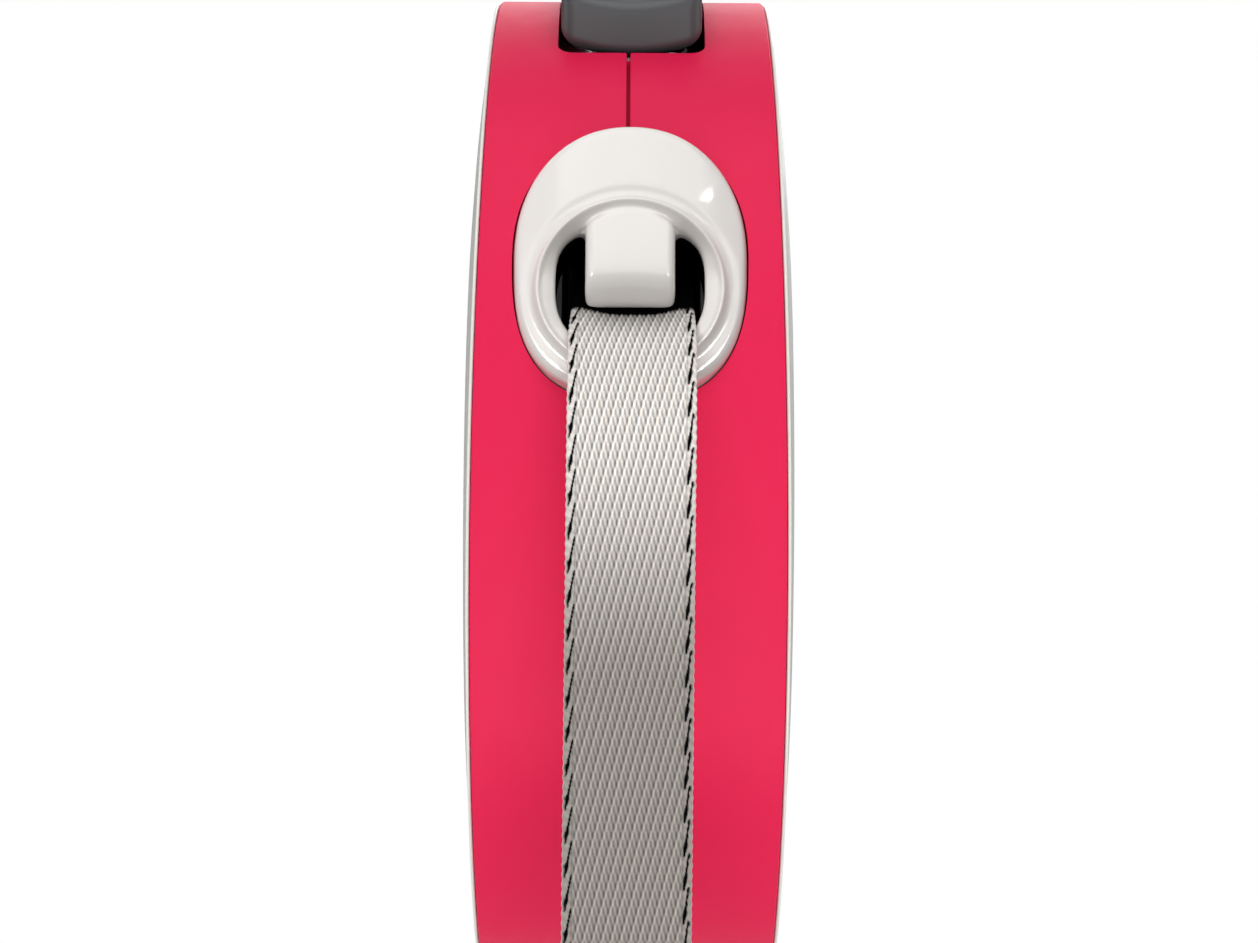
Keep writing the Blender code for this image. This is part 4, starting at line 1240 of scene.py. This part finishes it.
def build_floor():
    """A pale floor under the hook that fades out into the white surroundings."""
    work = bmesh.new()
    bmesh.ops.create_circle(work, cap_ends=True, segments=96, radius=0.7)
    mesh = mesh_of(work, "floor")
    floor = bpy.data.objects.new("floor", mesh)
    floor.location = (AXLE.x, AXLE.y, CAD_BOX[0].z - 0.004)
    bpy.context.scene.collection.objects.link(floor)
    material, tree, shader = new_material("floor_white", (0.86, 0.86, 0.86), 0.7)
    coordinates = tree.nodes.new("ShaderNodeTexCoord").outputs["Object"]
    length = tree.nodes.new("ShaderNodeVectorMath")
    length.operation = "LENGTH"
    tree.links.new(coordinates, length.inputs[0])
    fade = tree.nodes.new("ShaderNodeMapRange")
    fade.interpolation_type = "SMOOTHSTEP"
    fade.inputs["From Min"].default_value = 0.22
    fade.inputs["From Max"].default_value = 0.68
    tree.links.new(length.outputs["Value"], fade.inputs["Value"])
    clear = tree.nodes.new("ShaderNodeBsdfTransparent")
    mix = tree.nodes.new("ShaderNodeMixShader")
    out = tree.nodes["Material Output"]
    tree.links.new(fade.outputs["Result"], mix.inputs["Fac"])
    tree.links.new(shader.outputs["BSDF"], mix.inputs[1])
    tree.links.new(clear.outputs["BSDF"], mix.inputs[2])
    tree.links.new(mix.outputs["Shader"], out.inputs["Surface"])
    seen = tree.nodes.new("ShaderNodeLightPath").outputs["Is Camera Ray"]
    shader.inputs["Emission Color"].default_value = (1, 1, 1, 1)
    tree.links.new(span(tree, seen, 0.0, FLOOR_GLOW), shader.inputs["Emission Strength"])
    mesh.materials.append(material)
    floor.visible_shadow = False


def build_camera():
    """Ahead of the nozzle, a little above the axle's height, and rolled a touch."""
    data = bpy.data.cameras.new("camera")
    data.sensor_width = 36
    data.lens = 36 * CAMERA_DISTANCE / FRAME_WIDTH
    camera = bpy.data.objects.new("camera", data)
    place = Matrix.Translation((AXLE.x, CLIP.y - CAMERA_DISTANCE, AXLE.z + EYE_HEIGHT))
    upright = Matrix.Rotation(math.pi / 2, 4, "X")
    camera.matrix_world = place @ upright @ Matrix.Rotation(CAMERA_ROLL, 4, "Z")
    bpy.context.scene.collection.objects.link(camera)
    bpy.context.scene.camera = camera


MATERIALS = make_materials()
paint_cad_nodes()
build_casing()
build_covers()
finish_piece(grip_liner(), "casing", "grip_rubber", "grip_liner")
finish_piece(nozzle(), "casing", "nozzle_plastic", "nozzle")
build_tape()
finish_piece(brake_button(), "button", "control_plastic", "brake_button")
finish_piece(lock_slider(), "lock", "control_plastic", "lock_slider")
finish_piece(swivel_eye(), "eye", "hook_chrome", "swivel_eye")
finish_piece(hook_body(), "hook", "hook_chrome", "hook_body")
finish_piece(snap_bolt(), "bolt", "hook_chrome", "snap_bolt")
build_floor()
build_world()
build_light()
build_camera()
bpy.context.scene.view_settings.view_transform = "Standard"
